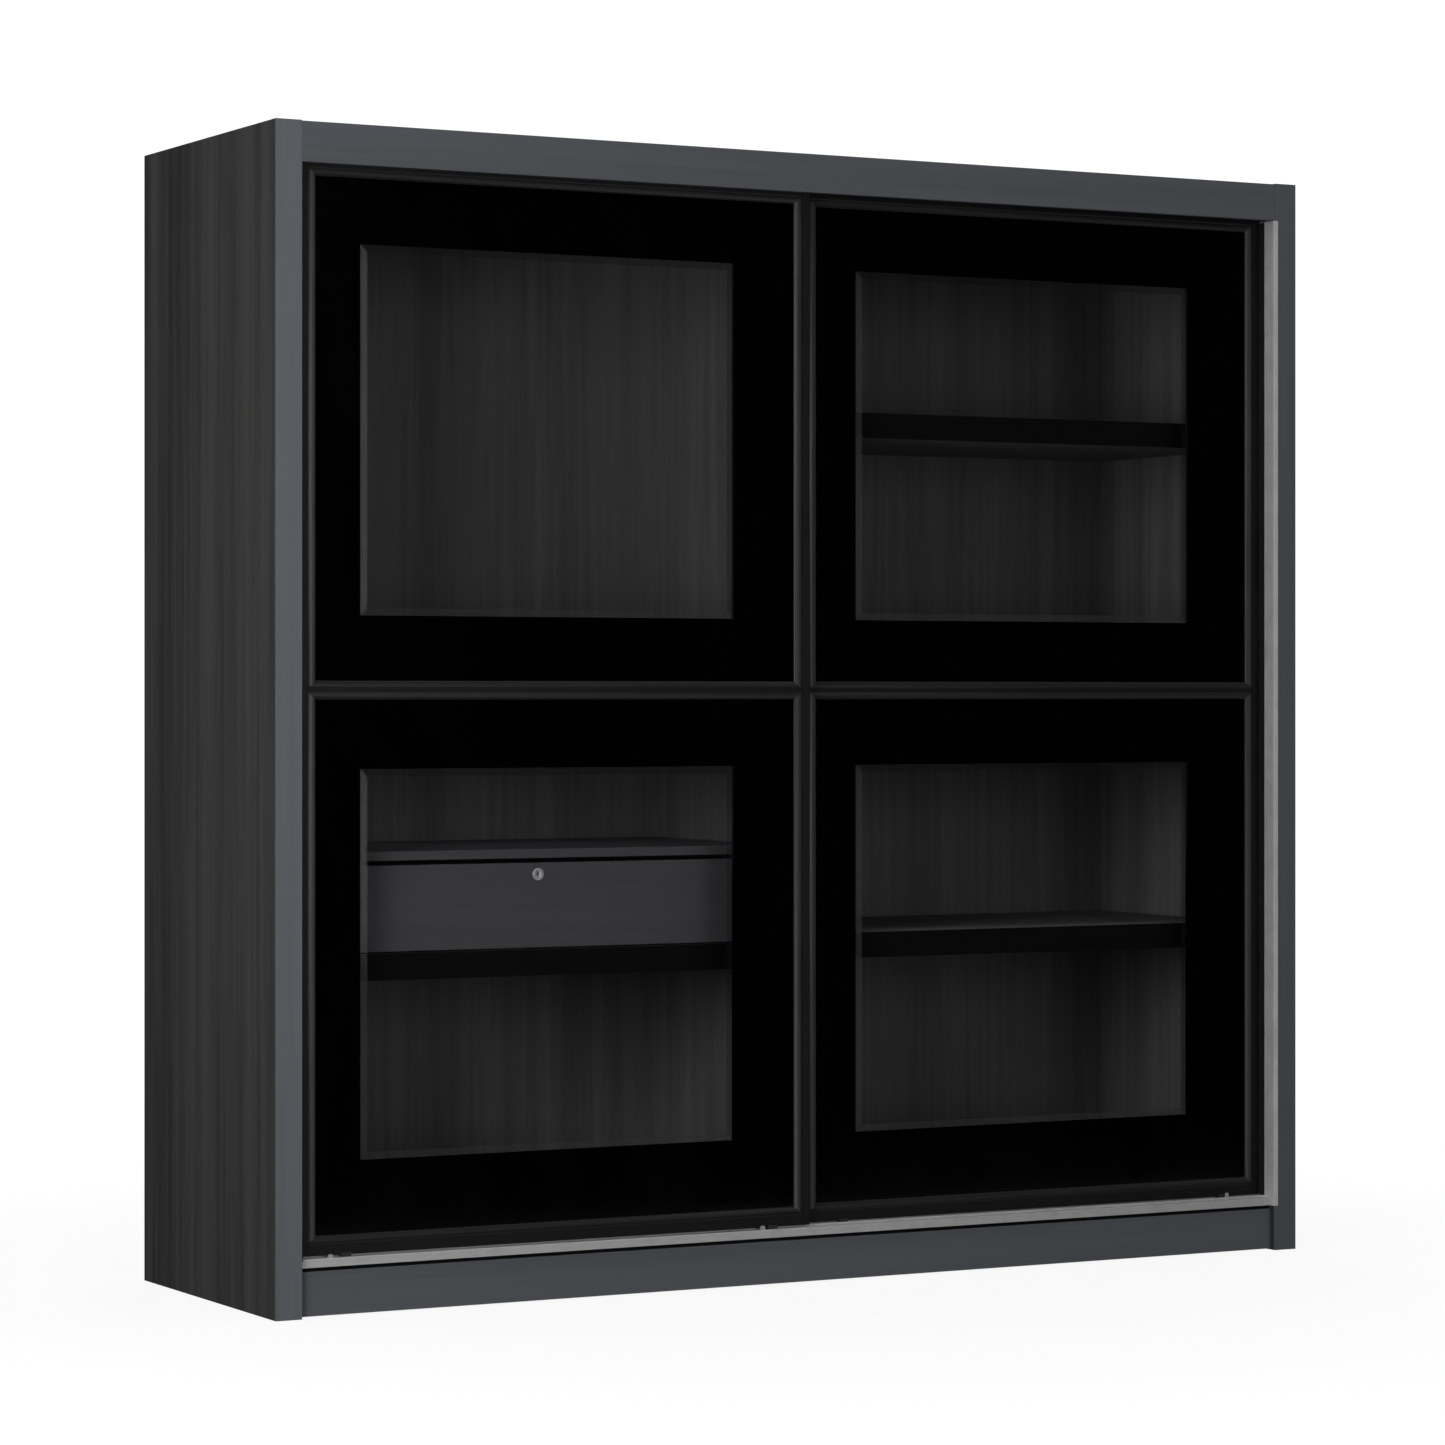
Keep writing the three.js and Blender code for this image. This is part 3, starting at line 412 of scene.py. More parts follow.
gasket_look = moulded("glazing_rubber", (0.012, 0.012, 0.012), 0.6, scale=900, depth=0.0001)
strip_look = moulded("joining_strip_plastic", (0.06, 0.06, 0.062), 0.5)
pile_look = moulded("pile_strip", (0.008, 0.008, 0.008), 0.9, scale=700, depth=0.0006)
clip_look = moulded("nylon_clip", (0.40, 0.40, 0.39), 0.4)
border_look = lacquered_glass("black_lacquered_glass")
window_look = window_glass("smoked_window_glass", (0.0012, 0.0012, 0.0013), gloss=0.03, specular=0.2,
                           alpha=0.14)
bevel_look = window_glass("polished_bevel", (0.0060, 0.0060, 0.0058), gloss=0.06, specular=0.3,
                          alpha=0.45)

# A board's finish: the looks of its faces and of its arrises, and the record's slot
SIDE_FINISH = ((side_look, side_arris), "side_laminate")
TOP_FINISH = ((top_look, top_arris), "side_laminate")
FRONT_FINISH = ((level_look, level_arris), "front_laminate")
UPRIGHT_FINISH = ((inner_look, inner_arris), "inner_laminate")
LEVEL_FINISH = ((floor_look, floor_arris), "inner_laminate")
EDGE_FINISH = ((shelf_edge_look, shelf_edge_arris), "shelf_laminate")
DRAWER_FINISH = ((drawer_look, drawer_arris), "drawer_laminate")


# ---- shapes


def link_object(name, data):
    made = bpy.data.objects.new(name, data)
    bpy.context.scene.collection.objects.link(made)
    return made


def mesh_of(name, bm):
    """The mesh of a finished bmesh."""
    mesh = bpy.data.meshes.new(name)
    bm.to_mesh(mesh)
    bm.free()
    return mesh


def dress(node, look):
    """Gives a CAD node that stays in view a look of its own."""
    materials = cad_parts[node].data.materials
    materials.clear()
    materials.append(look)


def finish_piece(name, bm, looks, body, node=None, sharp=SHARP_ANGLE):
    """Turns a bmesh into a piece that rides on a body, and that stands for a CAD node if one is given."""
    bmesh.ops.recalc_face_normals(bm, faces=bm.faces)
    mesh = mesh_of(name, bm)
    for face in mesh.polygons:
        face.use_smooth = True
    mesh.set_sharp_from_angle(angle=math.radians(sharp))
    for look in looks:
        mesh.materials.append(look)
    piece = link_object(name, mesh)
    flat_faces = piece.modifiers.new("flat_faces", "WEIGHTED_NORMAL")
    flat_faces.weight = 100
    flat_faces.keep_sharp = True
    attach(piece, body)
    if node:
        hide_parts(node)
    return piece


def round_edges(bm, edges, radius, segments, material=0):
    bmesh.ops.bevel(bm, geom=edges, offset=radius, segments=segments, profile=0.5, affect="EDGES",
                    material=material)


def add_box(bm, low, high, radius=ARRIS):
    """A box with rounded edges, which take the second look."""
    low, high = Vector(low), Vector(high)
    size = high - low
    verts = bmesh.ops.create_cube(bm, size=1)["verts"]
    for vert in verts:
        vert.co = (low + high) / 2 + Vector(a * b for a, b in zip(vert.co, size))
    edges = {edge for vert in verts for edge in vert.link_edges}
    if radius:
        round_edges(bm, list(edges), radius, 3, 1)


def add_prism(bm, section, axis, start, end):
    """A closed section, given along the two other axes in X, Y, Z order, run along axis."""
    place = {"X": lambda t, a, b: (t, a, b), "Y": lambda t, a, b: (a, t, b), "Z": lambda t, a, b: (a, b, t)}
    rings = [[bm.verts.new(place[axis](t, a, b)) for a, b in section] for t in (start, end)]
    join_rings(bm, rings)


def join_rings(bm, rings, closed=False):
    """Quads between each ring of points and the next. The last joins the first if closed, or else the
    two ends are capped."""
    pairs = list(zip(rings, rings[1:]))
    if closed:
        pairs.append((rings[-1], rings[0]))
    for ring, following in pairs:
        count = len(ring)
        for i in range(count):
            j = (i + 1) % count
            bm.faces.new((ring[i], ring[j], following[j], following[i]))
    if not closed:
        bm.faces.new(rings[0])
        bm.faces.new(rings[-1])


def rectangle_ring(bm, rect, y):
    left, right, bottom, top = rect
    corners = ((left, bottom), (right, bottom), (right, top), (left, top))
    return [bm.verts.new((x, y, z)) for x, z in corners]


def inset(rect, left, right=None, bottom=None, top=None):
    """rect with its sides moved inwards; one number moves them all."""
    if right is None:
        right = bottom = top = left
    return (rect[0] + left, rect[1] - right, rect[2] + bottom, rect[3] - top)


def add_frame(bm, rings, closed=True):
    """A rectangular frame through (rectangle, y) rings, or a solid pane if it isn't closed."""
    join_rings(bm, [rectangle_ring(bm, rect, y) for rect, y in rings], closed)


def add_lathe(bm, profile, centre, axis="Y", steps=48, closed=True):
    """A profile of (radius, distance along axis) turned round centre. A closed profile makes a ring."""
    centre = Vector(centre)
    rings = []
    for radius, along in profile:
        ring = []
        for i in range(steps):
            turn = 2 * math.pi * i / steps
            a, b = radius * math.cos(turn), radius * math.sin(turn)
            offset = {"X": (along, a, b), "Y": (a, along, b), "Z": (a, b, along)}[axis]
            ring.append(bm.verts.new(centre + Vector(offset)))
        rings.append(ring)
    join_rings(bm, rings, closed)


def lathe_piece(name, profile, centre, axis, steps, look, body, node=None, closed=True):
    bm = bmesh.new()
    add_lathe(bm, profile, centre, axis, steps, closed)
    return finish_piece(name, bm, [look], body, node)


def prism_piece(name, section, axis, start, end, look, body):
    bm = bmesh.new()
    add_prism(bm, section, axis, start, end)
    return finish_piece(name, bm, [look], body)


def rounded(corners, radius, steps=3):
    """The corners with each one rounded. A corner may carry its own radius as a third value."""
    points = []
    count = len(corners)
    for i, corner in enumerate(corners):
        here = Vector(corner[:2])
        before = Vector(corners[i - 1][:2])
        after = Vector(corners[(i + 1) % count][:2])
        reach = corner[2] if len(corner) > 2 else radius
        reach = min(reach, (before - here).length * 0.45, (after - here).length * 0.45)
        if reach < 1e-6:
            points.append(tuple(here))
            continue
        start = here + (before - here).normalized() * reach
        end = here + (after - here).normalized() * reach
        for step in range(steps + 1):
            t = step / steps
            point = start * (1 - t) ** 2 + here * 2 * t * (1 - t) + end * t ** 2
            points.append(tuple(point))
    return points


def cut(piece, solid):
    """Cuts a closed bmesh solid out of a piece."""
    bmesh.ops.recalc_face_normals(solid, faces=solid.faces)
    cutter = link_object("cutter", mesh_of("cutter", solid))
    modifier = piece.modifiers.new("cut", "BOOLEAN")
    modifier.operation = "DIFFERENCE"
    modifier.solver = "EXACT"
    modifier.object = cutter
    bpy.context.view_layer.update()
    result = piece.evaluated_get(bpy.context.evaluated_depsgraph_get())
    piece.data = bpy.data.meshes.new_from_object(result)
    piece.modifiers.remove(modifier)
    bpy.data.objects.remove(cutter)
    piece.data.set_sharp_from_angle(angle=math.radians(SHARP_ANGLE))


def board(name, node, finish, body="carcass", radius=ARRIS, low=None, high=None, replaces=True):
    """A board over a CAD node's box, or between two corners, with rounded arrises."""
    node_low, node_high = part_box(node)
    bm = bmesh.new()
    add_box(bm, low or node_low, high or node_high, radius)
    looks, slot = finish
    return finish_piece(name, bm, looks, body, node if replaces else None)


def paint(piece, test, look):
    """Gives the faces that pass test a look of their own."""
    piece.data.materials.append(look)
    index = len(piece.data.materials) - 1
    for face in piece.data.polygons:
        if test(face):
            face.material_index = index


def split(piece, y):
    """Adds edges round a piece where the plane at y crosses it."""
    bm = bmesh.new()
    bm.from_mesh(piece.data)
    bmesh.ops.bisect_plane(bm, geom=bm.verts[:] + bm.edges[:] + bm.faces[:], plane_co=(0, y, 0),
                           plane_no=(0, 1, 0))
    bm.to_mesh(piece.data)
    bm.free()


def screws(name, places, axis, sign, radius, height):
    """A row of low domed screw heads as one piece, with cross recesses. They face along axis, by sign."""
    dome = [(radius, -1.0 * MM), (radius, 0.2 * height), (radius * 0.86, 0.7 * height),
            (radius * 0.5, 0.95 * height), (radius * 0.42, height)]
    bm = bmesh.new()
    for place in places:
        add_lathe(bm, [(r, sign * t) for r, t in dome], place, axis, 24, closed=False)
    piece = finish_piece(name, bm, [screw_look], "carcass")
    facing = "XYZ".index(axis)
    across = [i for i in range(3) if i != facing]
    for place in places:
        for long_axis in across:
            low, high = Vector(place), Vector(place)
            for i in across:
                half = radius * (0.52 if i == long_axis else 0.12)
                low[i] -= half
                high[i] += half
            outer = high if sign > 0 else low
            outer[facing] += sign * 2 * height
            solid = bmesh.new()
            add_box(solid, low, high, 0)
            cut(piece, solid)


# ---- carcass


def side_panels():
    """Side boards with a band on their front edges. The left band is painted lighter, as painted light from
    the left. The right band is notched for the jamb's lip.
    """
    for side in SIDES:
        low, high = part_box(f"{side}_side_panel")
        back_of_band = low.y + 1.3 * BAND
        panel = board(f"{side}_side_board", f"{side}_side_panel", SIDE_FINISH,
                      low=Vector((low.x, back_of_band, low.z)), high=high)
        # The front strip of each inner face stays dark as painted shade; behind it the face takes the bays'
        # colour
        split(panel, INNER_SHADE_BACK)
        paint(panel, lambda face: face.normal.x * INWARD[side] > 0.9 and face.center.y > INNER_SHADE_BACK,
              inner_look)
        paint(panel, lambda face: abs(face.normal.z) > 0.9, side_end_look)
        outline = [(low.x, low.z), (high.x, low.z), (high.x, high.z), (low.x, high.z)]
        if side == "right":
            notch = low.x + JAMB_LIP_WIDTH + JAMB_PLAY
            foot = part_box("bottom_track")[0].z - JAMB_PLAY
            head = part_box("right_jamb_strip")[1].z + JAMB_PLAY
            outline += [(low.x, head), (notch, head), (notch, foot), (low.x, foot)]
        bm = bmesh.new()
        add_prism(bm, outline, "Y", low.y, back_of_band)
        round_edges(bm, bm.edges[:], 0.5 * MM, 2, 1)
        # The left band takes the lighter copy: painted light from the left side
        band_look = lit_left_band_look if side == "left" else upright_look
        finish_piece(f"{side}_side_front_band", bm, [band_look, upright_arris], "carcass")


def top_and_plinths():
    """Top, fascia, plinths, floor and divider. The floor's front edge is near black."""
    top = board("top_board", "top_panel", TOP_FINISH)
    paint(top, lambda face: face.normal.z < -0.9, floor_look)
    board("fascia_board", "top_fascia", FRONT_FINISH)
    board("front_plinth_board", "plinth_front", FRONT_FINISH)
    board("rear_plinth_board", "plinth_rear", LEVEL_FINISH)
    base = board("floor_board", "bottom_panel", LEVEL_FINISH)
    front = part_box("bottom_panel")[0].y + 1.1 * ARRIS
    paint(base, lambda face: face.center.y < front, shelf_edge_look)
    board("divider_board", "centre_divider", UPRIGHT_FINISH)


def shelf(name, node):
    """A shelf board with a near black band on its front edge."""
    low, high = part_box(node)
    board(name, node, LEVEL_FINISH, low=Vector((low.x, low.y + SHELF_BAND, low.z)), high=high)
    board(f"{name}_front_band", node, EDGE_FINISH, radius=0.7 * MM, low=low,
          high=Vector((high.x, low.y + SHELF_BAND, high.z)), replaces=False)


def shelves():
    for node in ("right_lower_shelf", "right_middle_shelf", "right_upper_shelf", "left_lower_shelf"):
        shelf(f"{node}_board", node)
    board("drawer_cover_board", "drawer_top_board", DRAWER_FINISH, radius=1.4 * MM)


def backs():
    """Back panels, faced inside and bare behind, their joining strip and the nails round them."""
    for side in SIDES:
        panel = board(f"back_{side}_board", f"back_panel_{side}", UPRIGHT_FINISH, radius=THIN_ARRIS)
        paint(panel, lambda face: face.normal.y > 0.9, fibre_look)
    low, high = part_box("back_panel_left")
    strip = [(-x, high.y + y) for x, y in JOINING_STRIP]
    strip += [(x, high.y + y) for x, y in reversed(JOINING_STRIP)]
    prism_piece("back_joining_strip", strip, "Z", low.z + 2 * MM, high.z - 2 * MM, strip_look, "carcass")
    bm = bmesh.new()
    for x, z in back_nail_places():
        add_lathe(bm, NAIL_HEAD, (x, high.y, z), "Y", 16, closed=False)
    finish_piece("back_nails", bm, [screw_look], "carcass")


def back_nail_places():
    """(x, z) of evenly spaced nails along the outer, top and bottom edges of each back panel."""
    places = []
    for side in SIDES:
        low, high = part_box(f"back_panel_{side}")
        left, right, bottom, top = inset((low.x, high.x, low.z, high.z), NAIL_EDGE)
        rows = int((top - bottom) / NAIL_PITCH)
        columns = int((right - left) / NAIL_PITCH)
        outer = left if side == "left" else right
        places += [(outer, bottom + i * (top - bottom) / rows) for i in range(rows + 1)]
        for i in range(1, columns):
            x = left + i * (right - left) / columns
            places += [(x, bottom), (x, top)]
    return places


def hanging_rail():
    low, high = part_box("hanging_rail")
    radius = (high.z - low.z) / 2
    centre = (0, (low.y + high.y) / 2, (low.z + high.z) / 2)
    bore = radius - RAIL_WALL
    tube = [(radius, low.x), (radius, high.x), (bore, high.x), (bore, low.x)]
    lathe_piece("wardrobe_rail", tube, centre, "X", 64, chrome_look, "carcass",
                "hanging_rail")
    for side, sign in INWARD.items():
        rail_cup(side, sign, centre, radius)


def rail_cup(side, sign, centre, radius):
    """A round cup on a side wall that holds one end of the rail, with two screws through its flange."""
    low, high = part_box(f"rail_socket_{side}")
    wall_x = low.x if sign > 0 else high.x
    flange = (high.z - low.z) / 2
    inner = radius + CUP["play"]
    outer, floor_face, depth = CUP["rim"], CUP["floor"], CUP["depth"]
    pinhole = 0.2 * MM
    ring = rounded([(inner, floor_face), (inner, depth), (outer, depth), (outer, floor_face),
                    (flange, floor_face), (flange, 0, 0), (pinhole, 0, 0), (pinhole, floor_face, 0)],
                   CUP["ease"])
    lathe_piece(f"rail_cup_{side}", [(r, sign * t) for r, t in ring], (wall_x, centre[1], centre[2]), "X",
                64, chrome_look, "carcass", f"rail_socket_{side}")
    places = [(wall_x + sign * floor_face, centre[1] + turn * CUP["screw_ring"], centre[2])
              for turn in (-1, 1)]
    screws(f"rail_cup_{side}_screws", places, "X", sign, 1.9 * MM, 0.5 * MM)


def tracks():
    """The tracks and the left jamb strip keep their CAD shapes. Screws hold them."""
    dress("bottom_track", track_look)
    dress("top_track", track_look)
    dress("left_jamb_strip", profile_look)
    low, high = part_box("bottom_track")
    rear_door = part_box("right_door_stile_left")
    between_lanes = (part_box("left_door_stile_left")[1].y + rear_door[0].y) / 2
    step = (high.x - low.x - 2 * TRACK_SCREW_INSET) / (TRACK_SCREWS - 1)
    places = [(low.x + TRACK_SCREW_INSET + i * step, between_lanes, high.z - LANE_HEIGHT)
              for i in range(TRACK_SCREWS)]
    screws("bottom_track_screws", places, "Z", 1, 3.2 * MM, 0.6 * MM)
    lane = (rear_door[0].y + rear_door[1].y) / 2
    for side, sign in INWARD.items():
        low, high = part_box(f"{side}_jamb_strip")
        face = high.x if sign > 0 else low.x
        step = (high.z - low.z - 2 * JAMB_SCREW_INSET) / (JAMB_SCREWS - 1)
        places = [(face, lane, low.z + JAMB_SCREW_INSET + i * step) for i in range(JAMB_SCREWS)]
        screws(f"{side}_jamb_screws", places, "X", sign, 3.0 * MM, 0.25 * MM)


def right_jamb():
    """An L profile: a flange on the panel's inner face and a lip over its front edge. Below, beside the
    track, it goes on with a shallower flange. A pile strip on it seals the rear door."""
    low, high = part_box("right_jamb_strip")
    panel_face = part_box("right_side_panel")[0]
    front = panel_face.y + 0.02 * MM
    lip_back = front + JAMB_LIP_THICKNESS
    lip_end = panel_face.x + JAMB_LIP_WIDTH
    outline = [(low.x, front, 0.8 * MM), (lip_end, front, 0.5 * MM), (lip_end, lip_back, 0.2 * MM),
               (high.x, lip_back, 0.3 * MM), (high.x, high.y, 0.3 * MM), (low.x, high.y, 0.6 * MM)]
    foot_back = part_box("bottom_panel")[0].y - 1.5 * MM
    foot = [(x, min(y, foot_back), *corner) for x, y, *corner in outline]
    bm = bmesh.new()
    add_prism(bm, rounded(outline, 0), "Z", low.z, high.z)
    add_prism(bm, rounded(foot, 0), "Z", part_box("bottom_track")[0].z, low.z - HAIRLINE)
    finish_piece("right_jamb_profile", bm, [jamb_look], "carcass", "right_jamb_strip")
    door_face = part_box("right_door_stile_right")[0].y
    base = door_face - PILE_DEPTH
    tip = low.x - PILE_THICKNESS
    pile = [(tip, base), (low.x, base), (low.x, door_face), (tip, door_face)]
    prism_piece("right_jamb_pile_strip", pile, "Z", low.z + MM, high.z - MM, pile_look, "carcass")


def track_clips():
    """Small nylon clips that stand on the bottom track before the doors."""
    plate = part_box("bottom_track")[1].z - LANE_HEIGHT
    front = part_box("left_door_stile_left")[0].y - 5.5 * MM
    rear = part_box("right_door_stile_left")[0].y - 3.7 * MM
    clips = [(front, clip) for clip in FRONT_CLIPS] + [(rear, REAR_CLIP)]
    for index, (y, (x, height, depth)) in enumerate(clips):
        outline = [(x - CLIP_FOOT, plate), (x + CLIP_FOOT, plate),
                   (x + CLIP_TOP, plate + height), (x - CLIP_TOP, plate + height)]
        prism_piece(f"track_clip_{index + 1}", rounded(outline, 1.6 * MM, 4), "Y", y, y + depth, clip_look,
                    "carcass")


# ---- doors


def profile_section(widths, rebate=None, hollow=()):
    """(across, back) points of a door profile: face, glazing rebate, back lip, and a hollow if it has one."""
    step, width = widths
    outline = [(0, 0, 0.9 * MM), (step, 0, 0.6 * MM)]
    outline += rebate or [(step, REBATE_BACK)]
    outline += [(width, REBATE_BACK, 0.3 * MM), (width, PROFILE_DEPTH, 1.2 * MM),
                (0, PROFILE_DEPTH, 0.9 * MM)]
    outline += hollow
    return rounded(outline, 0)


def bottom_rail_section():
    """The bottom rail has a seat for the bead, a rebate for the glass above it, and a stepped hollow."""
    step, width = BOTTOM_RAIL
    seat = BEAD_BACK + 0.1 * MM
    glass_floor = width - GLASS_BITE - 0.5 * MM
    rebate = [(step, seat), (glass_floor, seat), (glass_floor, REBATE_BACK)]
    front, middle, back = (RAIL_CAVITY[key] for key in ("front", "middle", "back"))
    low, high = RAIL_CAVITY["low"], RAIL_CAVITY["high"]
    hollow = [(0, back, 0.3 * MM), (high, back), (high, middle), (low, middle), (low, front),
              (0, front, 0.3 * MM)]
    return profile_section(BOTTOM_RAIL, rebate, hollow)


def top_rail_section():
    """The top rail is a channel for the guides."""
    front, depth = GUIDE_CHANNEL["wall"], GUIDE_CHANNEL["depth"]
    back = PROFILE_DEPTH - front
    channel = [(0, back, 0.3 * MM), (depth, back), (depth, front), (0, front, 0.3 * MM)]
    return profile_section(TOP_RAIL, hollow=channel)


def mitre(across, own, other):
    """How far in the mitre between two profiles is, at a distance across the first."""
    if across <= own[0]:
        return across * other[0] / own[0]
    return other[0] + (across - own[0]) * (other[1] - other[0]) / (own[1] - own[0])


def mitred_bar(name, node, section, face, outer, inward, ends, joints, vertical, look, body):
    """A profile with mitred ends. joints holds, for each end, its own widths and its neighbour's."""
    bm = bmesh.new()
    rings = []
    for index, sign in ((0, 1), (1, -1)):
        ring = []
        for across, back in section:
            along = ends[index] + sign * (mitre(across, *joints[index]) + HAIRLINE)
            lateral = outer + inward * across
            place = (lateral, face + back, along) if vertical else (along, face + back, lateral)
            ring.append(bm.verts.new(place))
        rings.append(ring)
    join_rings(bm, rings)
    finish_piece(name, bm, [look], body, node)


def door_box(door):
    """Opposite corners of a door. The left one stops a little short, so the doors just overlap."""
    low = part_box(f"{door}_stile_left")[0]
    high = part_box(f"{door}_stile_right")[1].copy()
    if door == "left_door":
        high.x -= LEFT_DOOR_TRIM
    return low, high


def door_frame(door):
    """Two stiles and two rails with mitred corners, and a straight middle rail between the stiles."""
    low, high = door_box(door)
    upright = profile_section(STILE)
    for side, outer in (("left", low.x), ("right", high.x)):
        mitred_bar(f"{door}_stile_{side}_profile", f"{door}_stile_{side}", upright, low.y, outer,
                   INWARD[side], (low.z, high.z), ((STILE, BOTTOM_RAIL), (STILE, TOP_RAIL)), True,
                   profile_look, door)
    for rail, outer, inward, widths, section in (("bottom", low.z, 1, BOTTOM_RAIL, bottom_rail_section()),
                                                 ("top", high.z, -1, TOP_RAIL, top_rail_section())):
        joint = (widths, STILE)
        mitred_bar(f"{door}_{rail}_rail_profile", f"{door}_{rail}_rail", section, low.y, outer, inward,
                   (low.x, high.x), (joint, joint), False, profile_level_look, door)
    middle_rail(door, low, high)


def middle_rail(door, low, high):
    """A T shaped bar: a narrow tongue in front, between the beads, and a wide web behind the glass."""
    node_low, node_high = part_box(f"{door}_mid_rail")
    centre = (node_low.z + node_high.z) / 2
    tongue = MID_RAIL_FACE / 2 - LEVEL_BEAD - MID_GROOVE
    web = MID_RAIL_FACE / 2
    face = low.y
    front = [(MID_TONGUE_FACE, -tongue, 0.6 * MM), (REBATE_BACK, -tongue), (REBATE_BACK, tongue),
             (MID_TONGUE_FACE, tongue, 0.6 * MM)]
    back = [(REBATE_BACK, -web, 0.3 * MM), (PROFILE_DEPTH, -web, MM), (PROFILE_DEPTH, web, MM),
            (REBATE_BACK, web, 0.3 * MM)]
    bm = bmesh.new()
    for outline, clearance in ((front, STILE[0]), (back, STILE[1])):
        section = [(face + y, centre + z) for y, z in rounded(outline, 0)]
        clearance += HAIRLINE
        add_prism(bm, section, "X", low.x + clearance, high.x - clearance)
    finish_piece(f"{door}_mid_rail_profile", bm, [profile_level_look], door,
                 f"{door}_mid_rail")


def opening_of(door, level):
    """The visible opening of a pane between the profiles, as (left, right, bottom, top)."""
    low, high = door_box(door)
    middle = sum(corner.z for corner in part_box(f"{door}_mid_rail")) / 2
    left = low.x + STILE_FACE
    right = high.x - STILE_FACE
    if level == "lower":
        return (left, right, low.z + BOTTOM_RAIL_FACE, middle - MID_RAIL_FACE / 2)
    return (left, right, middle + MID_RAIL_FACE / 2, high.z - TOP_RAIL_FACE)


def bead(door, level):
    """A rounded glazing bead round one pane, mitred at its corners, with a rubber seal under its edge. Its
    top and bottom runs take a darker copy of the bead's look, as painted shade.
    """
    face = door_box(door)[0].y
    opening = opening_of(door, level)
    grooves = (MID_GROOVE, BEAD_GROOVE) if level == "upper" else (BEAD_GROOVE, MID_GROOVE)
    section = [(0, 0, BEAD_BACK), (0, 0, BEAD_FOOT)]
    steps = 10
    for i in range(1, steps):
        turn = math.pi * i / steps
        section.append((0.5 - 0.5 * math.cos(turn), 0, BEAD_FOOT - (BEAD_FOOT - BEAD_CREST) * math.sin(turn)))
    section += [(1, 0, BEAD_FOOT), (1, 0.96, BEAD_FOOT), (1, 0.96, BEAD_BACK)]
    rings = []
    for bead_share, groove_share, depth in section:
        side = bead_share * SIDE_BEAD + groove_share * BEAD_GROOVE
        bottom, top = (bead_share * LEVEL_BEAD + groove_share * groove for groove in grooves)
        rings.append((inset(opening, -side, -side, -bottom, -top), face + depth))
    bm = bmesh.new()
    add_frame(bm, rings)
    piece = finish_piece(f"{door}_{level}_bead", bm, [bead_look], door, sharp=50)
    # The top and bottom runs of the bead are painted darker: painted shade
    paint(piece, lambda part: abs(part.normal.x) < 0.1 and not opening[2] < part.center.z < opening[3],
          shaded_bead_level_look)
    floor_of_groove = face + BEAD_FOOT - 0.01 * MM
    paint(piece, lambda part: part.normal.y < -0.9 and part.center.y > floor_of_groove, gasket_look)
    seal = [
        (inset(opening, -0.8 * MM), face + BEAD_BACK - 0.5 * MM),
        (inset(opening, 0.7 * MM), face + BEAD_BACK - 0.7 * MM),
        (inset(opening, 0.9 * MM), face + BEAD_BACK + 0.05 * MM),
        (inset(opening, -0.8 * MM), face + BEAD_BACK + 0.05 * MM),
    ]
    bm = bmesh.new()
    add_frame(bm, seal)
    finish_piece(f"{door}_{level}_seal", bm, [gasket_look], door)


def glazing(door, level):
    """The black sheet with its window opening, and the window pane with a wide bevel."""
    low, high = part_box(f"{door}_{level}_border")
    pane_low, pane_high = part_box(f"{door}_{level}_window")
    edge = GLASS_EDGE
    sheet = inset(opening_of(door, level), -GLASS_BITE)
    window = (pane_low.x, pane_high.x, pane_low.z, pane_high.z)
    opening = inset(window, -PANE_GAP)
    bm = bmesh.new()
    add_frame(bm, [
        (inset(sheet, edge), low.y),
        (sheet, low.y + edge),
        (sheet, high.y - edge),
        (inset(sheet, edge), high.y),
        (inset(opening, -edge), high.y),
        (opening, high.y - edge),
        (opening, low.y + edge),
        (inset(opening, -edge), low.y),
    ])
    finish_piece(f"{door}_{level}_black_sheet", bm, [border_look], door,
                 f"{door}_{level}_border", sharp=30)
    bm = bmesh.new()
    add_frame(bm, [
        (inset(window, PANE_BEVEL), pane_low.y),
        (window, pane_low.y + PANE_BEVEL_DROP),
        (window, pane_high.y - edge),
        (inset(window, edge), pane_high.y),
    ], closed=False)
    pane = finish_piece(f"{door}_{level}_pane", bm, [window_look], door,
                        f"{door}_{level}_window", sharp=2)
    paint(pane, lambda face: -0.999 < face.normal.y < -0.9, bevel_look)


def rollers(door):
    """Grooved acetal rollers, each with a ball bearing on its axle."""
    for side in SIDES:
        node = f"{door}_roller_{side}"
        low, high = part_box(node)
        centre = (low + high) / 2
        rim = (high.z - low.z) / 2
        half = (high.y - low.y) / 2
        near = [(BEARING_SEAT, -half), (rim, -half), (rim, -2.2 * MM), (rim - TREAD_DEPTH, -1.8 * MM)]
        tyre = rounded(near + [(r, -y) for r, y in reversed(near)], 0.4 * MM)
        lathe_piece(f"{node}_tyre", tyre, centre, "Y", 72, roller_look, node, node)
        near = [(r * MM, -y * MM) for r, y in BEARING]
        race = rounded(near + [(r, -y) for r, y in reversed(near)], 0.15 * MM, 2)
        lathe_piece(f"{node}_bearing", race, centre, "Y", 72, screw_look, node)


